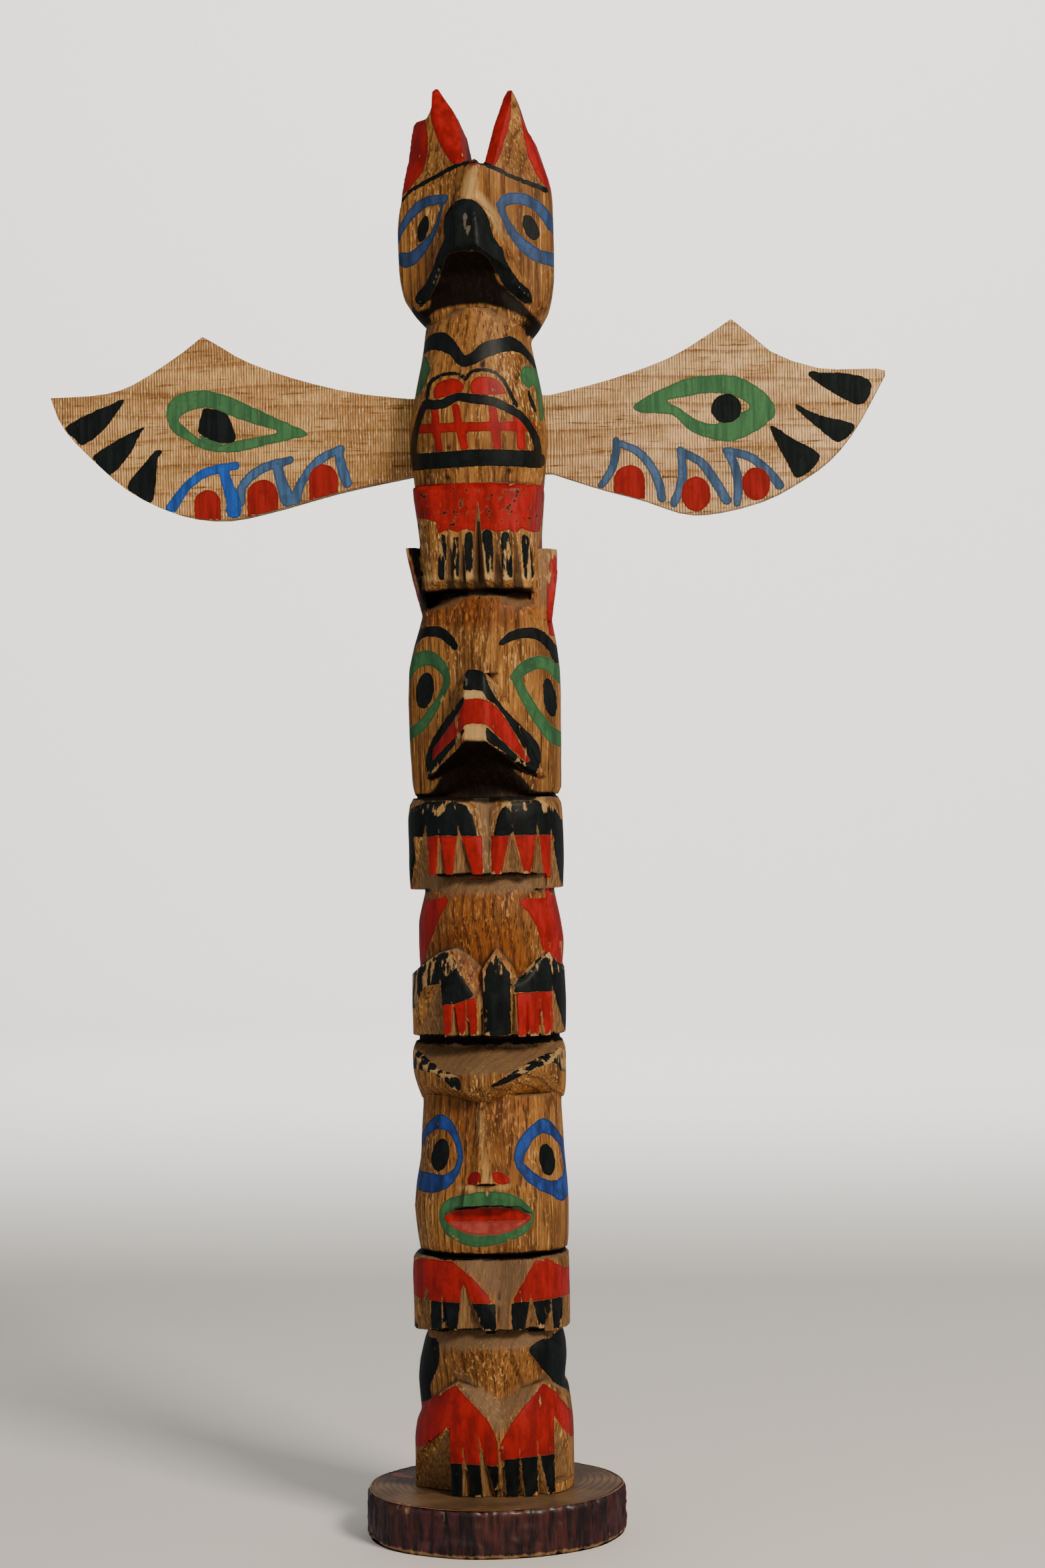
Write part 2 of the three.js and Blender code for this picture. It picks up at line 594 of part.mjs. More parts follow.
function base() {
  const facesRoundBark = 48;
  const levels = [
    [0, barkChamfer],
    [barkChamfer, 0],
    [baseThickness - barkChamfer, barkWear],
    [baseThickness, barkChamfer],
  ];
  const profile = [new THREE.Vector2(0, 0)];
  levels.forEach(([up, inset]) => profile.push(new THREE.Vector2(baseDiameter / 2 - inset, up)));
  profile.push(new THREE.Vector2(0, baseThickness));
  const geometry = new THREE.LatheGeometry(profile, facesRoundBark);
  geometry.rotateX(Math.PI / 2);
  const position = geometry.attributes.position;
  for (let i = 0; i < position.count; i += 1) {
    const turn = Math.atan2(position.getY(i), position.getX(i));
    const swell = barkWaves.reduce((sum, [times, phase, share]) => (
      sum + share * Math.sin(times * turn + phase)
    ), 1);
    position.setXY(i, position.getX(i) * swell, position.getY(i) * swell);
  }
  return geometryOf(solid(geometry));
}

function part(name, geometry, color, roughness) {
  geometry.computeVertexNormals();
  const mesh = new THREE.Mesh(geometry, new THREE.MeshStandardMaterial({ color, roughness, metalness: 0 }));
  mesh.name = name;
  return mesh;
}

const totemPole = new THREE.Group();
totemPole.add(part('pole', pole(), 0x9a6a38, 0.5));
totemPole.add(part('left_wing', wing(leftWing), 0xa87642, 0.5));
totemPole.add(part('right_wing', wing(rightWing), 0xa87642, 0.5));
totemPole.add(part('base', base(), 0x4a241c, 0.6));

export default totemPole;
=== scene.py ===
import math

import bpy
import numpy as np
from mathutils import Matrix, Vector


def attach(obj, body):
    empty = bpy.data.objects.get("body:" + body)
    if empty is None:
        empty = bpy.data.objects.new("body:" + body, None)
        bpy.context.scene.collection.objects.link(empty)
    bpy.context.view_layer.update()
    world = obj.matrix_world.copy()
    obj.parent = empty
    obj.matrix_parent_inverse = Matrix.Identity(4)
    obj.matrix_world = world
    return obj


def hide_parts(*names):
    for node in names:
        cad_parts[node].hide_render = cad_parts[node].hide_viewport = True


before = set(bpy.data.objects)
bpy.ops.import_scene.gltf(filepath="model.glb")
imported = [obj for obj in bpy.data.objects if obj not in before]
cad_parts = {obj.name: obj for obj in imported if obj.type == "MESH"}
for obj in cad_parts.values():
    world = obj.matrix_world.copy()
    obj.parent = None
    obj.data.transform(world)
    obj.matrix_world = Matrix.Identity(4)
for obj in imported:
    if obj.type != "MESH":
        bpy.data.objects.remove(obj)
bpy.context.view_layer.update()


# Camera: level with the lower part of the pole, a little to its right, with the slight roll that the
# hand-held photograph has. The pole stands left of the middle of the frame.
view_turn = math.radians(6)
view_roll = math.radians(0.9)
view_distance = 1.381
view_height = 0.3153
view_aside = 0.0159
sight = Vector((-math.sin(view_turn), math.cos(view_turn), 0))
aside = Vector((math.cos(view_turn), math.sin(view_turn), 0))


def placed(name, data):
    """An object at the origin, linked to the scene."""
    piece = bpy.data.objects.new(name, data)
    bpy.context.scene.collection.objects.link(piece)
    return piece


camera = placed("camera", bpy.data.cameras.new("camera"))
camera.data.sensor_fit = "VERTICAL"
camera.data.sensor_height = 36
camera.data.lens = 75
camera.data.clip_end = 30
spot = aside * view_aside - sight * view_distance + Vector((0, 0, view_height))
facing = sight.to_track_quat("-Z", "Y").to_matrix() @ Matrix.Rotation(-view_roll, 3, "Z")
camera.matrix_world = Matrix.Translation(spot) @ facing.to_4x4()
bpy.context.scene.camera = camera


# Pole: one carved cedar log. The mesh is a fine copy of the CAD solid, with its facets rounded off,
# its knife cuts kept crisp, and shallow knife marks and torn fibres added.
def dense_copy(name, node, depth, scale):
    """A merged copy of a CAD node, remeshed finely with its edges kept, as a mesh without an object."""
    piece = placed(name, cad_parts[node].data.copy())
    weld = piece.modifiers.new("weld", "WELD")
    weld.merge_threshold = 1e-5
    fine = piece.modifiers.new("fine", "REMESH")
    fine.mode = "SHARP"
    fine.octree_depth = depth
    fine.scale = scale
    settled = piece.evaluated_get(bpy.context.evaluated_depsgraph_get())
    mesh = bpy.data.meshes.new_from_object(settled)
    mesh.name = name
    mesh.materials.clear()
    bpy.data.objects.remove(piece)
    return mesh


def places(mesh):
    """The mesh's vertices in millimetres, one row each."""
    flat = np.empty(len(mesh.vertices) * 3, np.float32)
    mesh.vertices.foreach_get("co", flat)
    return flat.reshape(-1, 3).astype(float) * 1000


def facings(mesh):
    """The mesh's vertex normals, one row each."""
    flat = np.empty(len(mesh.vertices) * 3, np.float32)
    mesh.vertex_normals.foreach_get("vector", flat)
    return flat.reshape(-1, 3).astype(float)


def averaged(mesh, values, rounds):
    """Values (one row for each vertex) averaged with the neighbours along the edges, that many times."""
    flat = np.empty(len(mesh.edges) * 2, np.int32)
    mesh.edges.foreach_get("vertices", flat)
    a, b = flat.reshape(-1, 2).T
    count = np.bincount(a, minlength=len(values)) + np.bincount(b, minlength=len(values))
    for _ in range(rounds):
        columns = [np.bincount(a, column[b], len(values)) + np.bincount(b, column[a], len(values))
                   for column in values.T]
        values = (values + np.stack(columns, axis=1) / np.maximum(count, 1)[:, None]) / 2
    return values


def write_places(mesh, rows):
    """Puts the vertices at the rows, in millimetres, and smooths the shading but for hard edges."""
    mesh.vertices.foreach_set("co", (rows / 1000).astype(np.float32).ravel())
    mesh.update()
    mesh.shade_smooth()
    mesh.set_sharp_from_angle(angle=math.radians(42))


def noise(points, seed):
    """Smooth lattice noise from -1 to 1 at each row of points, with one lattice step to a unit."""
    table = np.random.default_rng(seed).uniform(-1, 1, 4096)
    cell = np.floor(points).astype(np.int64)
    part = points - cell
    ease = part * part * (3 - 2 * part)
    total = np.zeros(len(points))
    for corner in np.ndindex(2, 2, 2):
        key = ((cell + corner) @ np.array([73856093, 19349663, 83492791])) % len(table)
        total += np.prod(np.where(corner, ease, 1 - ease), axis=1) * table[key]
    return total


mesh = dense_copy("carved_pole", "pole", 9, 0.86)
at = places(mesh)

# Each round draws every vertex towards its neighbours, but hardly where a crisp cut would move far.
for _ in range(9):
    softer = averaged(mesh, at, 1)
    step = np.linalg.norm(softer - at, axis=1)
    at += (softer - at) * np.clip((0.13 - step) / 0.06, 0.12, 1)[:, None]
write_places(mesh, at)
facing = facings(mesh)
x, y, z = at.T

# Knife marks follow the log, and the tail's feathers are split along the grain.
marks = 0.22 * noise(at / (9, 9, 16), 3) + 0.08 * noise(at / (3.5, 3.5, 6), 4)
in_tail = np.clip((z - 396) / 3, 0, 1) * np.clip((426 - z) / 9, 0, 1) * (y < -18)
splits = np.maximum(0, noise(np.stack([x / 2.2, z / 34, 0 * x], axis=1), 5) - 0.05)
depth = 0.25 + marks - 1.6 * in_tail * splits
outward = facing * (1, 1, 0)
at += outward * (depth - 0.45)[:, None]
torn = np.clip(1 - np.abs(z - 401) / 5, 0, 1) * (y < -18)
at[:, 2] += torn * 1.6 * noise(np.stack([x / 2.6, 0 * x, 0 * x], axis=1), 6)
write_places(mesh, at)
facing = facings(mesh)
x, y, z = at.T

# Paint on the pole, as on the wings: enamel brushed on by hand, in black, scarlet, green and blue.
# Every coat is a list of strokes, patches and ovals, in millimetres across and up, and each vertex
# keeps its signed distance to the coat's edge. So are the bare places, the pale wood with its painted
# highlights, the grey, and the painted shade with the dark stains.


def bent(points, closed, steps=5):
    """A smooth run through the points: each span is a Catmull-Rom curve cut into a few steps."""
    points = np.asarray(points, float)
    if closed:
        around = np.vstack([points[-1:], points, points[:2]])
    else:
        around = np.vstack([2 * points[:1] - points[1:2], points, 2 * points[-1:] - points[-2:-1]])
    t = np.arange(steps)[:, None] / steps
    spans = []
    for a, b, c, d in zip(around, around[1:], around[2:], around[3:]):
        spans.append(0.5 * (2 * b + (c - a) * t + (2 * a - 5 * b + 4 * c - d) * t**2
                            + (3 * b - a - 3 * c + d) * t**3))
    return np.vstack(spans if closed else [*spans, points[-1:]])


def stroke(width, *points):
    """A brush stroke along the points. The width is one number, or one for each point."""
    widths = np.broadcast_to(width, len(points))
    line = bent([(x, z, w) for (x, z), w in zip(points, widths)], closed=False)
    return "stroke", line, None


def patch(*points, corners=False):
    """A filled outline through the points, with round turns or, with corners, straight sides."""
    line = np.asarray(points, float) if corners else bent(points, closed=True)
    return "patch", line, None


def ring(outer, inner):
    """A patch with a smaller one left out of it."""
    return "patch", bent(outer, closed=True), bent(inner, closed=True)


def oval(across, up, half_width, half_height, lean=0):
    """An upright oval whose top leans to the right by that many degrees."""
    turn = np.linspace(0, 2 * np.pi, 28, endpoint=False)
    x, z = half_width * np.cos(turn), half_height * np.sin(turn)
    tilt = np.radians(lean)
    line = np.stack([across + x * np.cos(tilt) + z * np.sin(tilt),
                     up - x * np.sin(tilt) + z * np.cos(tilt)], axis=1)
    return "patch", line, None


def to_line(line, x, z):
    """Distance from each place to the run of points, less half the width that the run carries there."""
    nearest = np.full(len(x), 1e3)
    for start, end in zip(line, line[1:]):
        span = end[:2] - start[:2]
        share = ((x - start[0]) * span[0] + (z - start[1]) * span[1]) / max(span @ span, 1e-9)
        share = np.clip(share, 0, 1)
        away = np.hypot(x - start[0] - share * span[0], z - start[1] - share * span[1])
        if len(start) > 2:
            away = away - (start[2] + share * (end[2] - start[2])) / 2
        nearest = np.minimum(nearest, away)
    return nearest


def to_patch(line, x, z):
    """Distance to the closed outline, below zero inside it."""
    closed = np.vstack([line, line[:1]])
    inside = np.zeros(len(x), bool)
    for (ax, az), (bx, bz) in zip(closed, closed[1:]):
        if az != bz:
            crossing = ax + (z - az) * (bx - ax) / (bz - az)
            inside ^= ((az > z) != (bz > z)) & (x < crossing)
    away = to_line(closed, x, z)
    return np.where(inside, -away, away)


def coat(shapes, x, z, reach=5.0):
    """The signed distance in millimetres from each place to the edge of the nearest shape."""
    result = np.full(len(x), reach)
    for kind, line, hole in shapes:
        low, high = line[:, :2].min(0) - reach - 3, line[:, :2].max(0) + reach + 3
        near = (x > low[0]) & (x < high[0]) & (z > low[1]) & (z < high[1])
        if kind == "stroke":
            away = to_line(line, x[near], z[near])
        else:
            away = to_patch(line, x[near], z[near])
        if hole is not None:
            away = np.maximum(away, -to_patch(hole, x[near], z[near]))
        result[near] = np.minimum(result[near], away)
    return result


def write_values(mesh, name, values):
    """Keeps one number for each vertex under that name."""
    mesh.attributes.new(name, "FLOAT", "POINT").data.foreach_set("value", values.astype(np.float32))


# The coats are read off on the uncarved round blank, so each place is carried to the blank along the
# line of sight. Behind the silhouette the across value runs on round the log, past all the strokes,
# but for the red of the ears, which goes right round them.
blank = 33.0
ears_from = 566.0
eye = np.array(spot) * 1000
ray = at - eye
a = ray[:, 0]**2 + ray[:, 1]**2
half_b = eye[0] * ray[:, 0] + eye[1] * ray[:, 1]
c = eye[0]**2 + eye[1]**2 - blank**2
share = (-half_b - np.sqrt(np.maximum(half_b**2 - a * c, 0))) / a
hit = eye + ray * share[:, None]
from_eye = np.arctan2(x * aside.x + y * aside.y, -x * sight.x - y * sight.y)
behind = np.maximum(0, np.abs(from_eye) - math.acos(blank / 1000 / view_distance))
across = np.where(behind > 0, np.sign(from_eye) * blank * (1 + behind), hit[:, 0])
red_across = np.where(z > ears_from, hit[:, 0], across)
up = hit[:, 2]

black = [
    # The top bird's brow line, beak and pupils.
    stroke((1.4, 1.7, 1.8, 1.8, 1.9, 1.6, 1.9, 1.9, 1.8, 2.2, 2.6), (-29.2, 560.4), (-25.3, 563),
           (-18, 565.4), (-11, 568), (-5.3, 570.4), (2.9, 572.6), (6.9, 571.8), (12.6, 569.3),
           (18.3, 566.8), (25.4, 564.6), (30.6, 563.6)),
    patch((-0.5, 557.3), (-5, 556), (-9, 551), (-10, 545), (-9.8, 541), (-12.4, 536), (-15.3, 529),
          (-18.9, 523), (-22.8, 519.3), (-23, 516.4), (-19.6, 515), (-16.5, 517.5), (-13, 524),
          (-10.5, 530), (-9.3, 533.4), (-6, 535.4), (-2, 535.8), (1, 535.4), (4, 535.6), (7.6, 533.8),
          (10.6, 529), (14, 522.6), (18, 518), (21.5, 515.2), (24, 514.5), (25.6, 516.5), (24.7, 520),
          (20.4, 524), (16.1, 531), (14, 537), (11, 541), (9.7, 546), (8, 551), (4, 556)),
    oval(-19.1, 546.2, 2.5, 5.5, 16),
    oval(25.3, 546.5, 3, 5.3, -18),
    # The neck's wave, and the wedge at its right.
    patch((-21.8, 496), (-19.9, 498.6), (-16.7, 501.8), (-12.4, 502.9), (-8.9, 501.8), (-5.3, 498),
          (-2.8, 494), (-1, 492.6), (1.9, 494.6), (5.4, 497.5), (10.4, 499), (16.9, 500.5), (20.4, 498.8),
          (23.3, 495.7), (27.4, 489), (26.9, 486.6), (23.3, 491.4), (19, 494.3), (13.3, 493.6),
          (8.3, 491.8), (3.3, 489.3), (-1, 487.8), (-5.3, 489.3), (-7.4, 492.5), (-11, 494.6),
          (-16, 495.7), (-20.6, 493.6), (-22.4, 491.5)),
    patch((23.5, 479), (25.2, 475), (26.8, 469), (25, 471), (23.2, 476)),
    # The mouth on its belly.
    stroke(1.6, (-18.5, 476), (-17.4, 481.4), (-14.6, 484), (-9, 485.4), (-4.6, 485), (-1.4, 482.5)),
    stroke(1.6, (-1, 483.6), (1, 485.7), (5.4, 486.4), (9.7, 485.7), (13.3, 482.9), (15.4, 479.3),
           (19, 471.4)),
    stroke((4, 4, 3.6, 4, 4, 3.6, 3.4, 3, 3, 3), (-19, 473.5), (-12, 473), (-5, 475.5), (2, 474.5),
           (9, 473.5), (15, 471), (20, 468), (24, 463), (26.3, 457), (26.8, 450)),
    stroke(3.2, (-18, 474), (-20.5, 471.5), (-23, 466), (-25, 459), (-25.5, 449)),
    stroke(7, (-25.5, 450), (-10, 449.8), (5, 450.2), (26, 450)),
    # The tail's feathers.
    stroke((2.6, 3.6, 3.6), (-12.4, 418), (-12.6, 412), (-13, 402)),
    stroke((2, 3, 3), (-6.6, 417.5), (-6.8, 411), (-7, 402)),
    stroke((3, 3.8, 3.4), (-1.2, 418.5), (-1.4, 412), (-1.7, 402)),
    stroke((4.2, 4.8, 3.6), (6.4, 418.5), (6.4, 411), (6.6, 402)),
    stroke((3.4, 4.2, 4.4), (13.6, 418), (14, 411), (14.2, 402)),
    stroke((2.6, 3.8, 4), (21.3, 417.4), (22, 411), (22.6, 402)),
    # The second head's brows, pupils and beak.
    stroke((2.6, 3.8, 4.4, 4.4, 3.8, 3), (-27.8, 373), (-24.4, 377.6), (-19, 379.3), (-13.6, 378.3),
           (-9.8, 375), (-7.8, 372.6)),
    stroke((2, 3.6, 4.4, 4.6, 4, 3.4, 2.4), (11.2, 373.4), (15, 376.2), (20, 377.8), (25, 377.6),
           (28.6, 374.8), (31, 371), (32, 367)),
    oval(-21.7, 354.8, 4.3, 7.6, 12),
    oval(29.5, 351.2, 2.3, 8.3, -6),
    patch((-2.8, 362.6), (2.4, 362.4), (4.6, 360.6), (6.9, 354.6), (10.4, 349), (14, 344.5), (19, 339.3),
          (24, 333.6), (26, 328), (25.4, 322.6), (23.8, 321.6), (20.4, 328.4), (15.4, 337.8),
          (9.7, 346.8), (5.4, 350.6), (3.4, 353.6), (0, 354.4), (-4.3, 354.6), (-4.4, 358)),
    patch((4.6, 339), (8.3, 336), (14, 330.4), (19, 325.4), (23.3, 323), (25, 320.4), (23, 319.2),
          (20.6, 319.8), (12.6, 327), (5.4, 333), (4.6, 335.4)),
    patch((-4.6, 351.8), (-8.9, 346.9), (-14.6, 339.9), (-19.6, 332.4), (-21.8, 325), (-20.8, 320.4),
          (-18.9, 319.3), (-16.4, 322), (-14.2, 326), (-17, 325.6), (-18.8, 326), (-17.6, 331),
          (-11, 339.4), (-5, 348)),
    patch((-4.8, 336.6), (-11, 329.2), (-17, 322.6), (-20.4, 318.6), (-20.8, 320.4), (-18.6, 325.4),
          (-11.4, 332.2), (-5.2, 338.2)),
    # Its paws, and the row of paws below them.
    patch((-34, 293.6), (-33.4, 300.6), (-30, 305.6), (-21, 308.8), (-9, 308.8), (-4, 306.6), (-1.4, 302),
          (0.6, 294), (-8, 294.2), (-16, 294.4), (-22.6, 294), (-26, 294), corners=True),
    patch((7, 294), (8, 300), (10, 304.6), (14, 308.2), (26, 308.6), (31, 304.6), (34, 297), (34, 293.6),
          (22, 294.2), (14, 294), corners=True),
    patch((-40, 300), (-29, 299), (-27.6, 285), (-30.6, 271), (-40, 271), corners=True),
    patch((40, 300), (30.6, 299), (29.8, 285), (31.4, 271), (40, 271), corners=True),
    patch((-40, 220), (-40, 236), (-28.5, 239), (-20, 244), (-12.4, 247), (-10, 243), (-6, 234.5),
          (-1.8, 228), (-5, 226.6), (-10, 225), (-16.4, 224), (-17.2, 233), (-24, 231.6), (-29.6, 222),
          corners=True),
    patch((1.4, 211), (1.4, 236), (4, 241), (7, 245.6), (10, 241.5), (12.9, 237), (12.9, 211),
          corners=True),
    patch((14, 229), (14, 232), (17, 236), (22, 241.6), (27.5, 245.4), (31, 240.6), (40, 233), (40, 228.6),
          corners=True),
    patch((29.4, 230), (40, 230), (40, 209), (33, 209), (31.4, 219), (30, 225), corners=True),
    # Along the visor's brim.
    patch((-36, 206), (-27, 204.2), (-22, 201), (-18.8, 198.6), (-20, 195.8), (-26, 196.4), (-36, 198)),
    patch((-18.4, 197.4), (-12, 195.8), (-8.4, 193), (-8.6, 189.4), (-11.4, 189.4), (-15, 192.6),
          (-19, 195)),
    stroke((1.4, 2.4, 3.2, 3.8, 4.4, 4.4), (5, 190.8), (10, 193), (16, 196), (22, 199.2), (27, 201),
           (31.4, 200.8)),
    patch((29.4, 204.4), (33, 203), (36, 196), (31.8, 194.6), (30.2, 198)),
    # The lower face's pupils and the line between its lips.
    oval(-17.8, 162, 3.9, 7.1, 15),
    oval(25.9, 159, 2.9, 6.8, -8),
    stroke((0.5, 1, 1.2, 1, 0.5), (-17, 136.6), (-10, 139.9), (0, 141.1), (11, 140.6), (19.6, 136.8)),
    # The lowest paws' claws, the marks on the waist, and the feet's claws.
    patch((-23.4, 101), (-10, 101.2), (4.8, 101), (5, 88.6), (-23.4, 88.6), corners=True),
    patch((11.2, 101.4), (20, 101), (30.8, 101), (30.8, 88.6), (11.4, 88.6), corners=True),
    patch((-40, 88), (-22.4, 86.4), (-19.6, 79), (-20.6, 73.6), (-24, 65.7), (-25, 59), (-40, 57)),
    patch((40, 87), (19, 83), (21, 75.7), (24.7, 70), (29, 64.3), (40, 57)),
    patch((-15.8, 34.3), (-6, 34.6), (5, 34), (5, 17), (-15.8, 17), corners=True),
    patch((6.4, 36.4), (16, 37), (27.2, 36.6), (27.2, 17), (6.4, 17), corners=True),
]
red = [
    # The ears.
    patch((-15.4, 598), (-14.4, 590), (-12.6, 584), (-9.4, 577), (-5.4, 571.4), (4, 571), (6, 590),
          (-4, 612), (-15, 614), (-19, 606), corners=True),
    patch((-17.3, 594), (-16.1, 584), (-16.4, 577), (-18.1, 570.7), (-25.3, 563.8), (-34, 561), (-34, 580),
          (-28, 594), corners=True),
    patch((19, 607), (18.6, 595.7), (18.1, 590), (16.5, 583.6), (14.4, 576.4), (12.2, 570.9), (4, 571.5),
          (6, 600), (12, 607), corners=True),
    patch((21.6, 596), (22.8, 586), (24.6, 576), (27.6, 568.8), (31.2, 564.4), (40, 561), (40, 596),
          corners=True),
    # The mouth on the belly, with its teeth.
    patch((-15.6, 478.5), (-13.5, 481.8), (-9, 483.2), (-5, 482.8), (-2.4, 480.5), (-3.2, 477.5),
          (-6, 476), (-11, 475.8), (-15, 475.4)),
    patch((0.4, 480), (2, 483), (6, 483.8), (10, 483.2), (13, 480.6), (14.7, 477.3), (11, 476.2),
          (5, 476), (1, 476.8)),
    stroke(4, (-22, 463.5), (0, 463), (24.4, 463.5)),
    stroke((3.2, 3.6, 3.4), (-15, 470.4), (-14.4, 463), (-13.5, 454.6)),
    stroke((3.2, 3.6, 3.6), (-6, 471.4), (-4.4, 463), (-2.5, 455)),
    stroke((3.2, 3.8, 3.4), (9.2, 471.6), (10.4, 463), (11, 454.4)),
    stroke((3, 3.6, 3.4), (18.6, 468), (19.8, 463), (20.5, 455.2)),
    # The band over the tail.
    patch((-40, 440.4), (0, 440), (40, 439.6), (40, 424), (24.4, 419.6), (20, 421), (17.5, 418.8),
          (15, 420.6), (10, 419.2), (6, 421), (2, 419.2), (-2, 421), (-6, 419.6), (-10, 421),
          (-14.5, 419.2), (-15, 424), (-19, 425.5), (-23.5, 426.5), (-40, 426), corners=True),
    # The second head's side ears and its beak.
    stroke((1.4, 2.2, 2.2, 2.2, 1.4), (-30, 415), (-28.8, 409), (-26.8, 401), (-24.8, 394), (-22.6, 385)),
    patch((31.6, 417), (29.9, 406), (29.2, 398.6), (28.6, 387), (29.6, 377), (40, 377), (40, 417),
          corners=True),
    patch((-4.4, 350.6), (-5, 348.2), (-11, 339.6), (-18, 331), (-19, 325.6), (-17.8, 325.2),
          (-11, 331.6), (-5.2, 337.6), (-3.6, 340.2), (4.3, 340), (8.3, 336), (14, 330.4), (19, 325.4),
          (23.4, 322.6), (24, 324), (19.8, 329), (15.4, 337.6), (9.7, 346.6), (4.4, 350.2), (0, 350.8)),
    # Its paws, the waist below and the next row of paws.
    patch((-22.6, 294.4), (2.4, 294.4), (2.4, 276), (-22.6, 276), corners=True),
    patch((6, 294.4), (30, 294.4), (30, 276), (6, 276), corners=True),
    patch((-40, 272), (-22, 272.6), (-12.6, 268.4), (-16, 261), (-21.7, 248.6), (-26, 239), (-40, 236)),
    patch((40, 271), (18, 267.9), (21, 260.7), (24, 253.6), (26, 245), (31, 238), (40, 234)),
    patch((-16.8, 224.2), (-10, 225.2), (-1, 228), (-1, 209), (-16.8, 209), corners=True),
    patch((15, 229.2), (29.8, 229.2), (29.4, 209), (15.4, 209), corners=True),
    # The lower face's nostrils and lips.
    patch((-6, 152.5), (-4.2, 155.2), (-1, 155.2), (-0.3, 152.5), (-1.2, 150.3), (-5.2, 150)),
    patch((4.4, 155.4), (8, 155.2), (11, 152.8), (10.8, 150.4), (6.5, 150.2), (4.6, 152.5)),
    patch((-16.8, 136.2), (-11, 139.5), (-3, 140.6), (6, 140.6), (13, 140), (17, 138), (19.9, 136.2),
          (16, 132.5), (9, 130), (2, 129.3), (-6, 129.8), (-12, 132)),
    # The lowest paws and the feet.
    patch((-36, 100.8), (-36, 112), (-31, 116), (-27, 118.2), (-13, 118.2), (-9.5, 115.4), (-4.6, 111.7),
          (0, 107), (3, 102.2), (4, 100.8), corners=True),
    patch((11.6, 101), (12.4, 103.4), (16.9, 110.7), (20.6, 117.7), (25.4, 118.2), (31, 113.4), (36, 110),
          (36, 100.8), corners=True),
    patch((-36, 46), (-30, 56), (-25, 60), (-18, 64), (-12.4, 67), (-5.3, 59.6), (-0.3, 54.6), (2.6, 50),
          (4.8, 44), (5.2, 34), (-15.8, 34), (-16, 48), (-24, 41.6), (-33, 33), corners=True),
    patch((6.2, 44), (9.7, 50), (12.6, 54.6), (16.9, 59.6), (23.3, 67), (28, 62), (33, 52), (36, 44),
          (33, 34), (27.2, 50), (27.2, 36), (6.2, 36), corners=True),
]
green = [
    # Beside the mouth on the belly, round the second head's eyes, and round the lips.
    patch((-19, 493.7), (-17.2, 490), (-16.8, 486.5), (-18.5, 484), (-20, 480.5), (-23.6, 477),
          (-22.8, 483), (-21.5, 489)),
    patch((20.5, 486), (22, 488.5), (25, 488.3), (27.7, 485), (29, 478), (29, 468), (27.4, 466.6),
          (26.8, 474), (25.5, 480.5), (23.5, 479.4), (21, 481.8)),
    stroke((5, 6, 6.4, 4.8, 3.2, 3, 3.6, 4.6, 5), (-31, 361), (-26.4, 366.6), (-20.3, 368.3),
           (-14, 364.8), (-11.6, 359), (-13.7, 353), (-18, 346.7), (-23, 340.7), (-31, 336)),
    stroke((3.6, 5, 5.4, 5, 4.4), (16.3, 359.5), (20.5, 363.6), (25.5, 365.8), (30, 364.3), (34, 359)),
    stroke((3.6, 4.2, 4.4, 5, 6, 6), (16.8, 359.4), (20.3, 351.6), (24.3, 344.2), (28.3, 338),
           (31.4, 334.6), (34, 333.4)),
    ring(((-18.9, 137), (-16, 143), (-9, 145.7), (0, 147.4), (9, 147), (15.5, 144), (19.5, 139.5),
          (20.9, 136), (18.5, 130.5), (12, 127), (4, 125), (-4, 124.5), (-11, 126.5), (-16.5, 130)),
         ((-16.4, 136.2), (-11, 139), (-3, 140), (6, 140), (13, 139.6), (17, 137.8), (19.4, 136.2),
          (16, 133), (9, 130.5), (2, 129.8), (-6, 130.3), (-12, 132.5))),
]
slate = [
    # Round the top bird's eyes.
    stroke((4, 4.6, 4.6, 4, 4.6), (-9.6, 557.6), (-18, 557.2), (-25, 553.2), (-30, 548.8), (-34, 544.6)),
    stroke((1.4, 1.6, 2.6, 5, 6.4, 5), (-10, 556.5), (-12, 550), (-15, 543.4), (-20, 537.8), (-26, 534.8),
           (-31, 537)),
    stroke((3.4, 4.8, 5, 5, 5, 4.6), (13.6, 554.4), (16.4, 557), (20.5, 557.9), (25, 557.3), (29.5, 554.2),
           (33, 549)),
    stroke((3, 3, 4, 5.5, 6, 5.6), (13.3, 554.8), (15.5, 549), (19, 542.4), (24, 537.4), (29, 535),
           (34, 535.6)),
]
blue = [
    # Round the lower face's eyes.
    ring(((-26, 171), (-22, 176.5), (-17.5, 179), (-13, 177), (-9.5, 171), (-7.8, 163), (-9, 156),
          (-13, 150), (-18.5, 146.6), (-24, 145.7), (-30, 147), (-34, 156), (-30, 164)),
         ((-25.6, 166), (-23, 170), (-18.5, 172.4), (-14, 171.5), (-11, 166), (-10.3, 161.5),
          (-12, 156.5), (-16.5, 154), (-22, 154.2), (-28, 155), (-31, 160))),
    ring(((24.7, 176.5), (29, 172.5), (31.5, 167), (35, 160), (35.6, 150), (31.9, 140.7), (27, 144),
          (20, 149), (15, 155), (13.3, 160), (14, 166), (18, 172)),
         ((24.7, 170), (28.5, 167.5), (30.8, 162), (31.5, 152), (28, 150), (23, 152.5), (18.5, 157),
          (16.9, 159.5), (19, 164.5), (21.5, 168.5))),
]
pink = [
    patch((-15, 134.4), (-8, 134.8), (2, 135), (12, 134.8), (17.6, 134.6), (14, 132), (9, 130.3),
          (2, 129.6), (-6, 130.1), (-11.6, 132)),
]
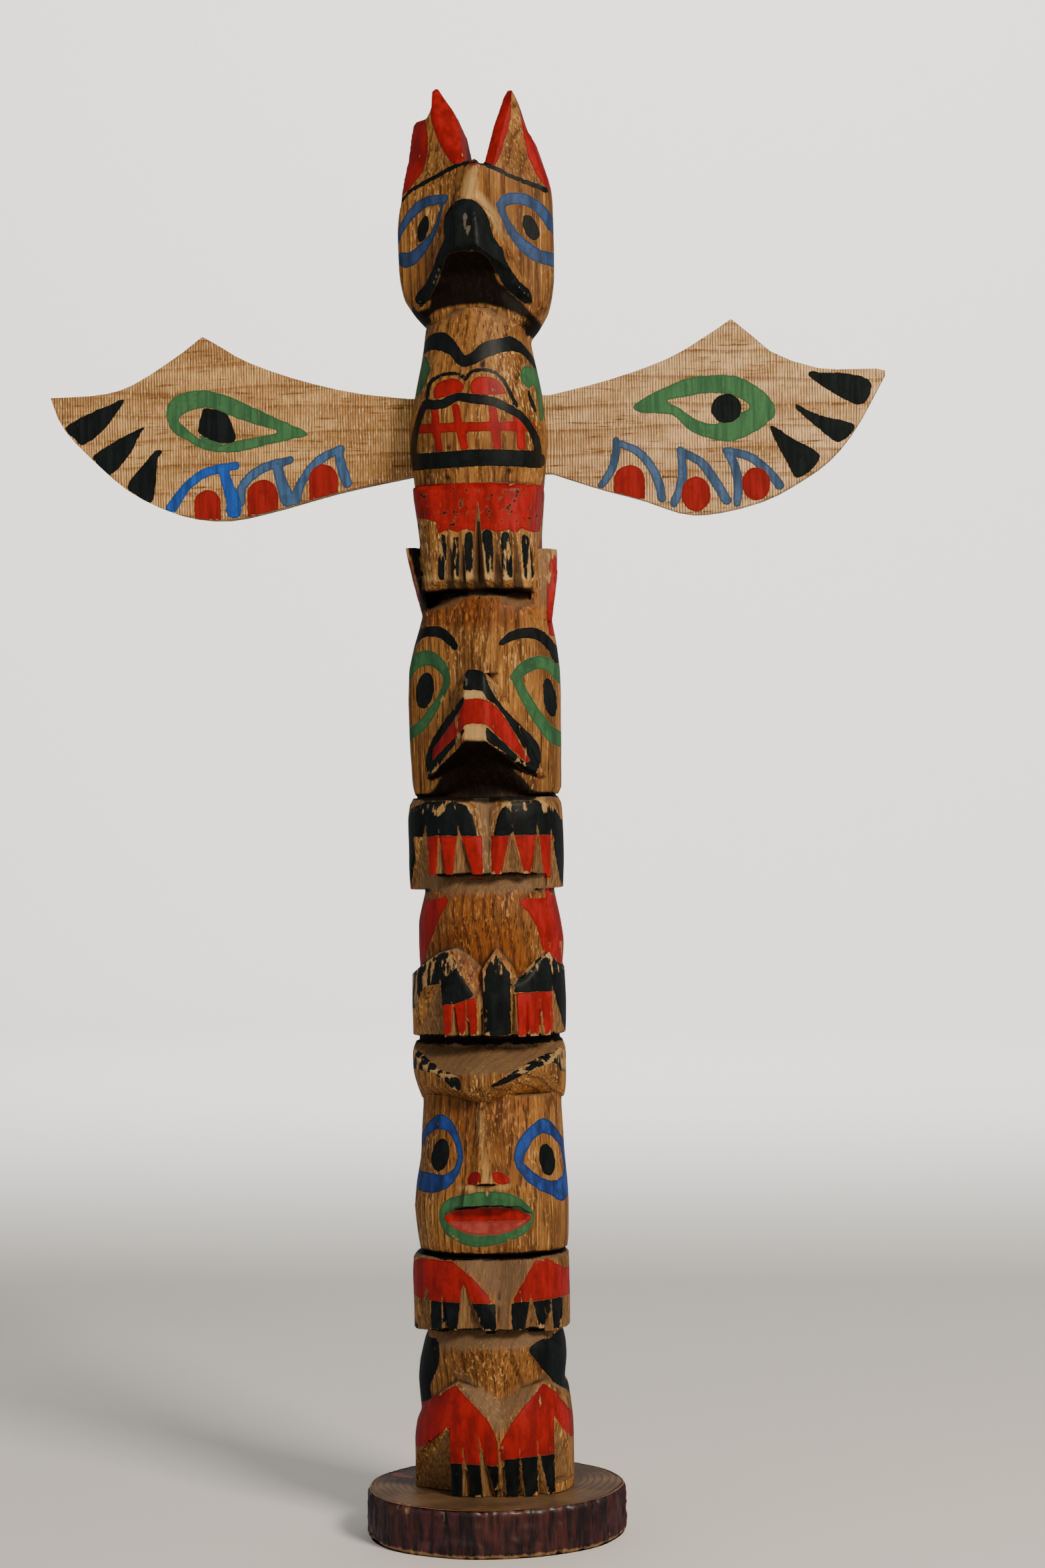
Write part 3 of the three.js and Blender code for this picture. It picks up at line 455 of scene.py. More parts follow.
# Grey strokes on the black beaks: scuffs, and down the middle of the top bird's beak a painted highlight.
scuffs_and_sheen = [
    stroke((0.3, 0.8, 0.4), (-1.6, 553), (-0.8, 549), (-1.2, 545)),
    stroke((0.3, 0.9, 1, 0.3), (0.8, 551.4), (1.2, 547.4), (0.2, 543.4), (-0.4, 541)),
    stroke((0.4, 0.8, 0.4), (-11.4, 531), (-12.8, 527), (-15, 523)),
    stroke((0.4, 0.9, 0.4), (-4.6, 361), (-3.4, 358.6), (-3, 356)),
    stroke((0.4, 1, 0.4), (5.2, 359.6), (8, 354), (10.6, 350.6)),
]
# Wood that shows where the enamel has gone, or where it never was.
bare = [
    patch((-16, 49.6), (-15.8, 17), (-40, 17), (-40, 32), (-25, 41), corners=True),
    patch((27, 52.4), (34, 38), (40, 30), (40, 17), (27.2, 17), corners=True),
    stroke((0.4, 1.1, 0.5), (-14.4, 130.6), (-12, 128), (-9.4, 126.4)),
    stroke((0.3, 0.9, 0.4), (7.6, 126), (10.6, 127), (13.6, 128.8)),
]
# Pale wood: worn and unpainted strips, brightened as a painted highlight where they face the light, on the
# beaks, the nose ridge and the edges of the lip, paws and tail.
pale_and_lit = [
    stroke((3, 4.6, 4.4), (2.6, 569), (1.8, 564), (0.4, 559)),
    stroke((2.6, 1.8, 1.4), (4.6, 558.6), (9.8, 552), (14.4, 541)),
    patch((-4.4, 354.6), (3.4, 354.4), (4, 351), (0, 350.2), (-4.4, 350.2)),
    patch((-4.4, 340.4), (4.4, 340.2), (4.6, 333.6), (-3, 333.8), (-4.6, 336)),
    stroke((0.4, 1.2, 1.8), (-0.4, 182), (0.3, 166), (1.4, 152)),
    stroke(1.2, (-8.6, 148.8), (1, 149.2), (11, 149)),
    stroke(1.1, (-20, 308.8), (-8, 309.2), (-2, 305)),
    stroke(1.1, (8.6, 301), (11, 306), (16, 309), (26, 309)),
    stroke(1.4, (-24, 401.2), (0, 401), (24, 401.4)),
]
grey = [
    patch((-31, 205.4), (-21.7, 201.8), (-18, 199), (-12.4, 197), (-4.6, 196.3), (4, 196.6), (9.7, 198.6),
          (18.3, 201), (27, 203.6), (33, 204.6), (30, 210), (0, 210.6), (-27, 210.6), corners=True),
    patch((-1, 310), (8.6, 310), (6, 296), (6, 277), (2.4, 277), (2.4, 292), corners=True),
    patch((-11, 119.6), (-4.6, 112), (0, 107.5), (4.4, 102), (5, 88), (11, 88), (11.5, 102), (17, 110.7),
          (21.4, 119.6), corners=True),
    patch((-24, 279), (27, 279), (28, 270.6), (-26, 270.6), corners=True),
    patch((-22, 89), (24, 89), (25, 82), (-22, 82), corners=True),
    patch((-14, 75), (-6, 70), (5.4, 61.4), (14, 65.7), (24.7, 71.4), (20, 62), (10, 52), (5.4, 47),
          (-1, 54), (-8, 62), corners=True),
    patch((26.4, 414), (31.4, 414), (29.4, 404), (28.4, 390), (26, 392), corners=True),
]
# Painted shade: dark under the top bird's beak, in the tail's shadow on the second head's brow, in the gap
# beside its left side ear, under its beak, and in the notches above the visor and under the lower face.
shade_and_stains = [
    patch((-9, 536.6), (-3, 536.4), (0, 535.4), (4, 536.4), (7.4, 534.6), (9.7, 529), (12.6, 523),
          (17.6, 518), (24.7, 512), (29, 506), (25, 506), (22, 509), (15, 512), (8, 513.6), (0, 513.8),
          (-8, 513), (-14, 511.4), (-20, 508), (-24, 512), (-17, 513), (-14.6, 520), (-11.7, 527),
          corners=True),
    patch((-24, 396.4), (24, 396.6), (24, 394), (14, 393.6), (-8, 393), (-16, 390), (-24, 387),
          corners=True),
    patch((-29.6, 416), (-23.6, 416), (-21, 396), (-21.6, 386), (-24, 398), corners=True),
    patch((-4.5, 333.8), (4, 333.2), (9.7, 327), (16.9, 320), (24, 312), (24, 308), (-24, 308),
          (-20, 311), (-15.3, 318), (-10.3, 326), corners=True),
    patch((-34, 211), (34, 211), (34, 208.4), (-34, 208.4), corners=True),
    patch((-34, 121.4), (34, 121.4), (34, 119.4), (-34, 119.4), corners=True),
]
# Small dark knots and stains on the neck and belly, and the flecks in the red band.
rng = np.random.default_rng(11)
shade_and_stains += [oval(a, b, s, s * 1.5, l) for a, b, s, l in zip(
    rng.uniform(-22, 24, 34), rng.uniform(441, 512, 34), rng.uniform(0.2, 1.0, 34),
    rng.uniform(-30, 30, 34))]
flecks = [oval(a, b, s, s * 1.2, l) for a, b, s, l in zip(
    rng.uniform(-29, 30, 120), rng.uniform(422, 438, 120), rng.uniform(0.35, 0.75, 120),
    rng.uniform(-30, 30, 120))]
for name, shapes in (("black", black), ("red", red), ("maroon", flecks), ("green", green), ("blue", blue),
                     ("slate", slate), ("pink", pink), ("scuffs_and_sheen", scuffs_and_sheen)):
    write_values(mesh, name, coat(shapes, red_across if name == "red" else across, up))

# The V cuts between claws, fingers and feathers are bare. They stand in rows by the height of their
# foot: each has the across and up of its tip and the left and right of its foot. The ledges that look
# down, the wood set back below the claws and the thin notches round the log are bare too.
claw_rows = {
    20: [(-16, 49.3, -34, -15.6), (-10.3, 45, -11.2, -6.9), (-3.9, 47.9, -2.6, 3.4),
         (4.6, 47.5, 3.8, 5.6), (6.6, 47.5, 5.6, 7.8), (13.3, 43.6, 12.4, 15.4), (20.4, 45, 20.2, 24.6)],
    25: [(26.9, 52.5, 26.8, 33.3)],
    86: [(-24.8, 109.5, -31, -23.4), (-18.5, 108.6, -18.8, -15.4), (-9.3, 110.7, -12.4, 0.6),
         (19, 105.7, 15.6, 23), (26.9, 104, 23.6, 27.6), (31, 102, 29.6, 33)],
    209: [(-16.5, 235.7, -29.6, -15.8), (-11.9, 231, -12.6, -9), (-6, 230, -6.6, -4),
          (0.9, 241, -0.8, 1.8), (14.2, 240, 12.6, 15.8), (19.4, 231, 18.8, 20.6), (24.3, 231, 24, 26),
          (28.6, 234, 28.2, 33)],
    269: [(-22, 301, -31, -20.8), (29.2, 298, 28, 33)],
    277: [(-16.4, 299.6, -18.2, -13.6), (-8.1, 299.6, -11, -2), (14.4, 299.3, 9.2, 19.2),
          (24.4, 301, 21, 26.6)],
    394: [(-10, 424.6, -12, -7.2), (-4.6, 424.6, -6.6, -2), (2.4, 438.5, -0.8, 6),
          (9.9, 424.4, 7.6, 13.2), (17.6, 424, 15.4, 21)],
}
cuts = [patch((tip, top), (left, foot), (left, foot - 1), (right, foot - 1), (right, foot), corners=True)
        for foot, row in claw_rows.items() for tip, top, left, right in row]
raw = coat(cuts, x, z) + 0.2 + 5 * (y > 0)
paws = ((z > 84) & (z < 92)) | ((z > 208) & (z < 214)) | ((z > 268) & (z < 280))
set_back = np.where(paws & (np.abs(x) < 26), -y - 22.6, 5)
ledge = np.clip((facing[:, 2] + 0.8) / 0.1, -1, 1) * 2
notches = (np.abs(z - 119.8) < 1.5) | (np.abs(z - 209.1) < 2.1) | (np.abs(z - 310.5) < 1.1)
in_notch = np.where(notches & (np.hypot(x, y) < 31.2), -1.5, 5)
bare_by = np.minimum(np.minimum(coat(bare, across, up), raw), np.minimum(set_back, ledge))
bare_by = np.minimum(bare_by, in_notch)
write_values(mesh, "bare", bare_by)
write_values(mesh, "raw", raw)
smooth_at = averaged(mesh, at, 14)
proud = np.einsum("ij,ij->i", at - smooth_at, facing)
write_values(mesh, "proud", proud)
facing_up = np.clip((facing[:, 2] - 0.25) / 0.4, 0, 1)
facing_down = np.clip((-facing[:, 2] - 0.3) / 0.4, 0, 1)
write_values(mesh, "pale_and_lit", coat(pale_and_lit, across, up))
write_values(mesh, "split", np.where((z > 393) & (z < 440), raw + 0.2, 5))
write_values(mesh, "grey", np.minimum(coat(grey, across, up), 2 - 4 * facing_up * (z < 560) * (z > 40)))
# Painted shade: surfaces that look down under the carving are darkened, and so are the notches; the dark
# stains are kept with them.
shaded_zone = (z > 60) & ((z < 178) | (z > 200)) & (np.abs(x) < np.where(z < 335, 24, 27))
shaded_zone &= (z < 355) | ((z > 367) & (z < 394)) | (z > 403)
painted_undershade = np.minimum(coat(shade_and_stains, across, up), 2 - 4 * facing_down * shaded_zone)
write_values(mesh, "shade_and_stains", np.minimum(painted_undershade, in_notch))
# Where handling has worn the paint, and how much of it has gone.
scuff = np.full(len(at), 0.12)
for amount, left, right, low, high in (
        (0.52, -34, 34, 398, 420), (0.54, -34, 34, 186, 212), (0.52, -34, 34, 303, 312),
        (0.28, -34, 34, 268, 303), (0.6, -40, -19, 222, 248), (0.5, -19, 40, 236, 250),
        (0.26, -19, 40, 205, 236), (0.3, -12, 12, 122, 130), (0.3, -8, 11, 145, 151),
        (0.2, -34, 34, 17, 120), (0.32, -22, 16, 468, 480), (0.34, -27, 27, 445, 455),
        (0.44, -22, -5, 318, 352), (0.26, -5, 30, 318, 364)):
    zone = [patch((left, low), (right, low), (right, high), (left, high), corners=True)]
    scuff = np.maximum(scuff, amount * np.clip(0.6 - coat(zone, across, up) / 3, 0, 1))
write_values(mesh, "scuff", scuff + np.clip(proud * 1.2 - 0.6, 0, 0.3))
# Painted shade: the wood is darkened where it lies in from the round log, most in the waists under the paws.
waists = ((z > 48) & (z < 87)) | ((z > 222) & (z < 271)) | ((z > 381) & (z < 397))
recess_shade = np.clip((31.6 - np.hypot(x, y)) / 5, 0, 1)
recess_shade *= np.where(waists, np.where(z < 90, 0.3, 0.9), 0.12 + 0.4 * (z < 190))
write_values(mesh, "recess_shade", averaged(mesh, recess_shade[:, None], 6)[:, 0])


def linear(colour):
    """The linear colour of an sRGB hex colour."""
    value = np.array([int(colour[i:i + 2], 16) for i in (1, 3, 5)]) / 255
    value = np.where(value <= 0.04045, value / 12.92, ((value + 0.055) / 1.055) ** 2.4)
    return (*value.tolist(), 1.0)


usual = {"MapRange": {"interpolation_type": "SMOOTHSTEP"}, "Mix": {"data_type": "RGBA"}}


def add(tree, kind, *inputs, output=None, **settings):
    """Adds a shader node with its settings and links, and gives its first output or the named one.
    Each input in turn is set to a constant, linked to a socket or, by its name in quotes, to a number
    that the mesh keeps for each vertex. None leaves an input as it is."""
    item = tree.nodes.new("ShaderNode" + kind)
    for name, value in {**usual.get(kind, {}), **settings}.items():
        setattr(item, name, value)
    for socket, value in zip([socket for socket in item.inputs if socket.enabled], inputs):
        if isinstance(value, str):
            value = add(tree, "Attribute", output="Fac", attribute_name=value)
        if isinstance(value, bpy.types.NodeSocket):
            tree.links.new(value, socket)
        elif value is not None:
            socket.default_value = value
    return next(socket for socket in item.outputs if socket.enabled and output in (None, socket.name))


def speckle(tree, cell, detail=2.0, roughness=0.5):
    """Noise whose cells are so many millimetres along X, Y and Z."""
    here = add(tree, "TexCoord", output="Object")
    here = add(tree, "VectorMath", here, [1000 / size for size in cell], operation="MULTIPLY")
    return add(tree, "TexNoise", here, 1.0, detail, roughness)


def toned(tree, ground, value, low, high, colour, strength=1.0):
    """The ground, turned into the colour as the value goes from low to high."""
    share = add(tree, "MapRange", value, low, high, 0.0, strength)
    return add(tree, "Mix", share, ground, linear(colour))


def from_pith(tree, x, y):
    """The distance in metres from the log's upright pith."""
    here = add(tree, "TexCoord", output="Object")
    level = add(tree, "VectorMath", here, (1, 1, 0), operation="MULTIPLY")
    return add(tree, "VectorMath", level, (x / 1000, y / 1000, 0), operation="DISTANCE")


def growth_lines(tree, away, spacing, soft, crisp):
    """Growth lines so many millimetres apart in the distance. Each darkens between those two shares
    of its ring, and then stops at once."""
    rings = add(tree, "Math", away, spacing / 1000, operation="DIVIDE")
    phase = add(tree, "Math", rings, operation="FRACT")
    rising = add(tree, "MapRange", phase, soft, crisp)
    ending = add(tree, "MapRange", phase, 1.0, crisp)
    return add(tree, "Math", rising, ending, operation="MULTIPLY")


def painted(tree, wood, wood_height, wood_roughness, colours, bristles):
    """Lays the coats over the wood and finishes the material. Enamel is smoother than the wood and
    stands up by its thickness, its edges are uneven, and it has gone where the carving stands proud.
    The brush has left streaks of noise with such cells, in millimetres."""
    ragged = add(tree, "Math", speckle(tree, (2.381, 2.381, 2.381), 3.0), 0.5, operation="SUBTRACT")
    streak = speckle(tree, bristles, 4.0, 0.6)
    handled = add(tree, "Math", "scuff", -0.42, streak, operation="MULTIPLY_ADD")
    stays = add(tree, "MapRange", handled, 0.18, 0.24)
    reached = add(tree, "MapRange", add(tree, "Math", "bare", ragged, operation="ADD"), -0.15, 0.15)
    blots = speckle(tree, (3.846, 3.846, 3.846), 3.0, 0.6)
    patchy = add(tree, "MapRange", blots, 0.52, 0.64, 1.0, 0.5)
    shade, covered = wood, 0.0
    for name, colour, deep in colours:
        edge = add(tree, "Math", ragged, 1.1, name, operation="MULTIPLY_ADD")
        brush = add(tree, "Math", add(tree, "MapRange", edge, 0.18, -0.18), reached, operation="MULTIPLY")
        mask = add(tree, "Math", brush, stays, operation="MULTIPLY")
        thick = add(tree, "MapRange", edge, -0.1, -0.9)
        thick = add(tree, "Math", add(tree, "MapRange", streak, 0.3, 0.66), thick, operation="MULTIPLY")
        thick = add(tree, "Math", thick, patchy, operation="MULTIPLY")
        stain = add(tree, "Math", brush, 0.6, operation="MULTIPLY")
        worn = add(tree, "Mix", stain, shade, linear("#b08f60"))
        shade = add(tree, "Mix", mask, worn, add(tree, "Mix", thick, linear(deep), linear(colour)))
        covered = add(tree, "Math", covered, mask, operation="MAXIMUM")
    thickness = add(tree, "Math", streak, 0.16, 0.10, operation="MULTIPLY_ADD")
    bump = add(tree, "Bump", 1.0, 0.001, None, add(tree, "Mix", covered, wood_height, thickness))
    rough = add(tree, "Math", covered, -0.04, wood_roughness, operation="MULTIPLY_ADD")
    shader = tree.nodes["Principled BSDF"]
    for socket, link in (("Base Color", shade), ("Roughness", rough), ("Normal", bump),
                         ("Coat Normal", bump)):
        tree.links.new(link, shader.inputs[socket])
    shader.inputs["Coat Weight"].default_value = 0.02
    shader.inputs["Coat Roughness"].default_value = 0.35
    shader.inputs["Specular IOR Level"].default_value = 0.11


# Red cedar: orange-brown, with dark growth lines 3.7 mm apart and fine fibres up the log, grey where
# it has weathered, with painted glints, and with painted shade that darkens the recesses and creases and
# turns the undercuts dark brown, under a thin uneven varnish.
cedar = bpy.data.materials.new("red_cedar")
cedar.use_nodes = True
tree = cedar.node_tree
drift = speckle(tree, (38.46, 38.46, 200))
away = add(tree, "Math", drift, 0.016, from_pith(tree, -160, 110), operation="MULTIPLY_ADD")
line = growth_lines(tree, away, 3.7, 0.5, 0.92)
fibre = speckle(tree, (0.6667, 0.6667, 21.74), 3.0, 0.6)
cloud = speckle(tree, (26.32, 26.32, 71.43), 4.0, 0.6)
ground = toned(tree, linear("#674321"), cloud, 0.32, 0.68, "#9c6c37")
ground = add(tree, "Mix", add(tree, "Math", line, 0.75, operation="MULTIPLY"), ground, linear("#452510"))
ground = toned(tree, ground, fibre, 0.56, 0.74, "#c99550")
ground = toned(tree, ground, fibre, 0.48, 0.31, "#3d200b")
# Painted highlights: pale glints in clusters where the fibres stand up, put into the colour in place of the
# light the varnish catches.
painted_glint = add(tree, "MapRange", speckle(tree, (0.7692, 0.7692, 3.03), 1.0), 0.57, 0.66)
clusters = add(tree, "MapRange", speckle(tree, (16.67, 16.67, 41.67), 3.0), 0.44, 0.62, 0.05, 0.55)
painted_glint = add(tree, "Math", painted_glint, clusters, operation="MULTIPLY")
ground = add(tree, "Mix", painted_glint, ground, linear("#e6bd7e"))
# Painted shade: the wood is darkened in the recesses.
hollow_shade = add(tree, "Math", "recess_shade", 0.85, operation="MULTIPLY")
ground = add(tree, "Mix", hollow_shade, ground, linear("#c08a58"), blend_type="MULTIPLY")
uneven = add(tree, "Math", speckle(tree, (5.556, 5.556, 16.67), 3.0), 0.5, operation="SUBTRACT")
raw_wood = toned(tree, linear("#5a4027"), fibre, 0.32, 0.66, "#876745")
ground = add(tree, "Mix", add(tree, "MapRange", "raw", 0.4, -0.3, 0.0, 0.8), ground, raw_wood)
# Grey weathering, pale wood with painted highlights, the darker tail cuts, and painted shade with the dark
# stains.
for name, colour, strength, spread in (("grey", "#66523e", 0.75, 2.2), ("pale_and_lit", "#c0a06a", 0.6, 1.8),
                                      ("split", "#38261a", 0.8, 0.6), ("shade_and_stains", "#080402", 0.98, 0.8)):
    edge = add(tree, "Math", uneven, 2.5 * spread, name, operation="MULTIPLY_ADD")
    ground = toned(tree, ground, edge, spread, -spread, colour, strength)
# Painted shade in the creases, where the surface lies below its surroundings.
ground = toned(tree, ground, "proud", -0.25, -1.1, "#2a170b", 0.7)
torn = add(tree, "MapRange", "raw", 0.3, -0.3, 0.24, 0.69)
relief = add(tree, "Math", fibre, torn, operation="MULTIPLY")
relief = add(tree, "Math", line, 0.05, relief, operation="MULTIPLY_ADD")
enamel = (("green", "#3a6640", "#274a31"), ("blue", "#26448f", "#18274e"), ("slate", "#354c78", "#222f47"),
          ("red", "#9a1b1b", "#701112"), ("maroon", "#571413", "#430e0d"), ("pink", "#97403a", "#7c2b27"),
          ("black", "#161c1d", "#090c0d"), ("scuffs_and_sheen", "#75736a", "#4a4841"))
painted(tree, ground, relief, 0.5, enamel, (4.167, 4.167, 16.67))
mesh.materials.append(cedar)
pole = placed("carved_pole", mesh)
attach(pole, "root")
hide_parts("pole")


# Wings: two sawn cedar boards, cut to a curved outline and let into slots in the pole's sides. Their
# edges are a little rounded, and each front is painted with an eye, three arches and three feathers.
def shield(across, foot, half_width, tall):
    """A spot with a flat foot, upright sides and a round top."""
    turn = np.linspace(0, np.pi, 16)
    arch = np.stack([across + half_width * np.cos(turn),
                     foot + tall - half_width * (1 - np.sin(turn))], axis=1)
    return patch((across - half_width, foot), (across + half_width, foot), *arch, corners=True)


left_coats = {
    "green": [ring(
        ((-135, 476.7), (-132.8, 481.7), (-127.2, 484.8), (-118.3, 485.6), (-109.4, 483.3), (-100.6, 479.4),
         (-89.4, 473.9), (-73.9, 466.1), (-80.6, 463.7), (-90.6, 461.7), (-100.6, 459.4), (-108.3, 458.7),
         (-118.3, 460), (-126.1, 464.4), (-132.8, 468.9)),
        ((-129.4, 473), (-125, 476.7), (-116.1, 478), (-107.2, 474.4), (-97.2, 470.6), (-86.7, 467),
         (-96.1, 465), (-105, 463.6), (-113.9, 461.6), (-119.4, 463.9), (-124, 467.6))),
        patch((-120.4, 466.6), (-118.6, 463), (-115, 461.6), (-111, 462.2), (-107.6, 464.6), (-114, 463.6))],
    "black": [
        patch((-119.4, 476.1), (-118.6, 477.8), (-113.9, 477.2), (-108.3, 474.4), (-105, 463.9),
              (-112.8, 463.3), (-120.6, 467.2), (-120.8, 470.6)),
        patch((-153, 482.6), (-159.4, 480.6), (-170.6, 476.1), (-178.9, 471.1), (-175, 466.1),
              (-171.1, 463.7), (-162.8, 469.4), (-156.7, 476.7)),
        patch((-144.1, 470.8), (-152.8, 467.2), (-162.8, 461.7), (-167.4, 457.8), (-163.9, 452.8),
              (-160, 450.2), (-151.7, 458.3), (-146.1, 468.3)),
        patch((-137, 459.8), (-139.4, 460.6), (-143.9, 456.1), (-152.2, 446.1), (-149.4, 442.2),
              (-142.2, 438), (-139.7, 448.3), (-139.2, 456.1))],
    "azure": [
        stroke((5, 4, 4, 4, 3.4), (-133.3, 435.6), (-127.2, 443.9), (-120.6, 449.2), (-113.9, 451.6),
               (-105, 453)),
        stroke((4.4, 5, 6.5, 7), (-110.6, 451), (-108.6, 444.6), (-106.4, 438), (-106.2, 434))],
    "blue": [
        stroke((5, 4, 4, 4, 3.4), (-103.9, 437.6), (-102.4, 443.9), (-97.2, 449.4), (-90.6, 452.6),
               (-81.6, 454.9)),
        stroke((4.4, 5, 6, 6.6), (-87.2, 452.2), (-85.4, 445), (-83.6, 440), (-82.6, 438)),
        stroke((5, 4, 4, 4, 3.6), (-79.4, 438), (-77.6, 443.9), (-72.8, 450.6), (-67.2, 455.6),
               (-59.6, 459)),
        stroke((4, 4.4, 4.6), (-60.6, 457), (-59.2, 450.6), (-57.2, 444.6))],
    "red": [shield(-117.6, 429, 5.8, 14), shield(-93.7, 431, 6.7, 15.8), shield(-67.4, 437.5, 6.2, 15.2)],
}
right_coats = {
    "green": [ring(
        ((65.3, 473.7), (72.2, 478.3), (80, 481.7), (88.9, 485), (100, 485.9), (108.9, 485), (116.7, 481.1),
         (122.2, 476.1), (125, 469.4), (120, 463.9), (113.3, 460), (105.6, 457.8), (96.7, 459.4),
         (88.9, 462.8), (84.4, 467.2), (80, 470), (68.9, 470.8)),
        ((80, 475.6), (88.9, 477.4), (97.8, 478.3), (107.8, 476.7), (114.4, 472.2), (108.9, 469.4),
         (101.7, 465.8), (96.1, 465.8), (91.1, 467.8), (85.6, 471.7)))],
    "azure": [],
    "black": [
        oval(104.4, 471.7, 6.4, 6.2),
        patch((139.8, 486.3), (144.4, 485.6), (155.6, 485), (164.4, 481.7), (164.4, 475.6), (160.6, 471.7),
              (153.3, 474.4), (140, 483.3)),
        patch((133.9, 472.6), (143.3, 467.8), (157.8, 463.3), (151.1, 456.3), (142.2, 462.8), (134.4, 470)),
        patch((123.6, 463.9), (131.1, 458.9), (143.3, 450.6), (133.9, 441.7), (128.9, 449.4),
              (123.3, 460.6))],
    "blue": [
        stroke((3, 3.6, 3.6, 3), (51.1, 440.4), (55.6, 447.2), (57.4, 453.4), (57.8, 459.4)),
        stroke((3.2, 3.6, 3.8, 4, 3.6), (60, 457.9), (66.7, 454.6), (72.2, 448.3), (75.6, 440.6),
               (76.7, 434.6)),
        stroke((3.4, 4, 4, 3.4), (81.7, 432.4), (84.4, 438.3), (85.6, 446.1), (84.8, 454.6)),
        stroke((3.4, 3.8, 4.2, 4), (85.6, 453.9), (93.3, 449.4), (98.9, 441.7), (104, 433)),
        stroke((3.4, 4, 4, 3), (108.3, 432), (108.9, 439.4), (107.4, 447.8), (103.9, 454)),
        stroke((3.4, 3.8, 4.2, 4), (105.6, 453.7), (114.4, 450.8), (122.2, 443.9), (126.2, 438.8))],
    "red": [shield(63.1, 434.5, 6.6, 14.6), oval(91.1, 436.1, 6.2, 7.4), oval(116.4, 439.7, 6, 7)],
}
board_front = 2.0
saw_pitch = 1.15
for side, wing_coats, warm, light, arch in (("left", left_coats, "#a77a4a", "#d9ab6f", "#44648f"),
                                            ("right", right_coats, "#b38b5f", "#e4bd8d", "#4c6485")):
    mesh = dense_copy(f"{side}_board", f"{side}_wing", 8, 0.9)
    at = places(mesh)
    at = at + (averaged(mesh, at, 2) - at) * 0.8
    write_places(mesh, at)
    x, y, z = at.T
    over = np.maximum(0, y - board_front - 0.6) * 2
    for name, shapes in wing_coats.items():
        write_values(mesh, name, coat(shapes, x, z) + over)
    facing = facings(mesh)
    proud = np.einsum("ij,ij->i", at - averaged(mesh, at, 14), facing)
    write_values(mesh, "proud", proud)
    write_values(mesh, "bare", np.full(len(at), 5.0))
    write_values(mesh, "scuff", 0.14 + np.clip(proud * 1.5 - 0.4, 0, 0.4))

    # Sawn cedar board: golden brown, with a growth line every 10.5 mm along the wing. The saw has left fine
    # upright marks 1.15 mm apart, with painted shade in their grooves and painted glints on their crests.
    board = bpy.data.materials.new(f"{side}_sawn_cedar")
    board.use_nodes = True
    tree = board.node_tree
    here = add(tree, "TexCoord", output="Object")
    high = add(tree, "SeparateXYZ", here, output="Z")
    drift = speckle(tree, (111.1, 111.1, 38.46))
    away = add(tree, "Math", drift, 0.014, high, operation="MULTIPLY_ADD")
    line = growth_lines(tree, away, 10.5, 0.74, 0.95)
    sway = add(tree, "Math", speckle(tree, (6.25, 1000, 33.33)), 9.0, operation="MULTIPLY")
    along = add(tree, "SeparateXYZ", here, output="X")
    saw = add(tree, "Math", along, math.tau * 1000 / saw_pitch, sway, operation="MULTIPLY_ADD")
    saw = add(tree, "Math", add(tree, "Math", saw, operation="SINE"), 0.5, 0.5, operation="MULTIPLY_ADD")
    sparks = speckle(tree, (0.7692, 1000, 3.333), 2.0, 0.6)
    sparks = add(tree, "MapRange", sparks, 0.52, 0.66, 0.0, 0.75)
    fibre = speckle(tree, (14.29, 1.111, 1.111), 3.0, 0.6)
    cloud = speckle(tree, (33.33, 16.67, 11.11), 3.0)
    ground = toned(tree, linear(warm), cloud, 0.3, 0.7, light)
    line = add(tree, "Math", line, 0.6, operation="MULTIPLY")
    ground = add(tree, "Mix", line, ground, linear("#74421f"))
    ground = toned(tree, ground, fibre, 0.46, 0.27, "#65401f")
    patchy = add(tree, "MapRange", speckle(tree, (2.381, 1000, 8.333), 3.0, 0.6), 0.36, 0.6, 0.3, 0.85)
    # Painted shade in the saw grooves, and painted glints on their crests.
    groove_shade = add(tree, "Math", add(tree, "MapRange", saw, 0.7, 0.0), patchy, operation="MULTIPLY")
    ground = add(tree, "Mix", groove_shade, ground, linear("#5e3f22"))
    painted_glint = add(tree, "Math", sparks, saw, operation="MULTIPLY")
    ground = add(tree, "Mix", painted_glint, ground, linear("#f6d79f"))
    relief = add(tree, "Math", fibre, 0.05, operation="MULTIPLY")
    relief = add(tree, "Math", saw, 0.2, relief, operation="MULTIPLY_ADD")
    enamel = (("green", "#44714a", "#31563a"), ("blue", arch, "#2f4059"), ("azure", "#2459b6", "#1f3f7d"),
              ("red", "#93201f", "#741716"), ("black", "#191f20", "#0e1213"))
    painted(tree, ground, relief, 0.46, enamel, (2, 5, 25))
    mesh.materials.append(board)
    wing = placed(f"{side}_board", mesh)
    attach(wing, "root")
    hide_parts(f"{side}_wing")


# Base: a slice of log with its bark. The top and the underside are sawn end grain, and the bark is
# ridged upright, chipped in places, with both rims worn pale.
base_radius = 54.5
base_height = 20.0
rim = 1.4
bark_waves = ((2, 0.7, 0.011), (3, 2.1, 0.008), (7, 0, 0.004), (11, 1.3, 0.003))


def ring_quads(rings, around):
    """The quads between rings of so many vertices each: along one ring, then back along the next."""
    below = np.arange(rings - 1)[:, None] * around
    first = (below + np.arange(around)).ravel()
    beside = (below + (np.arange(around) + 1) % around).ravel()
    return np.stack([first, beside, beside + around, first + around], axis=1)


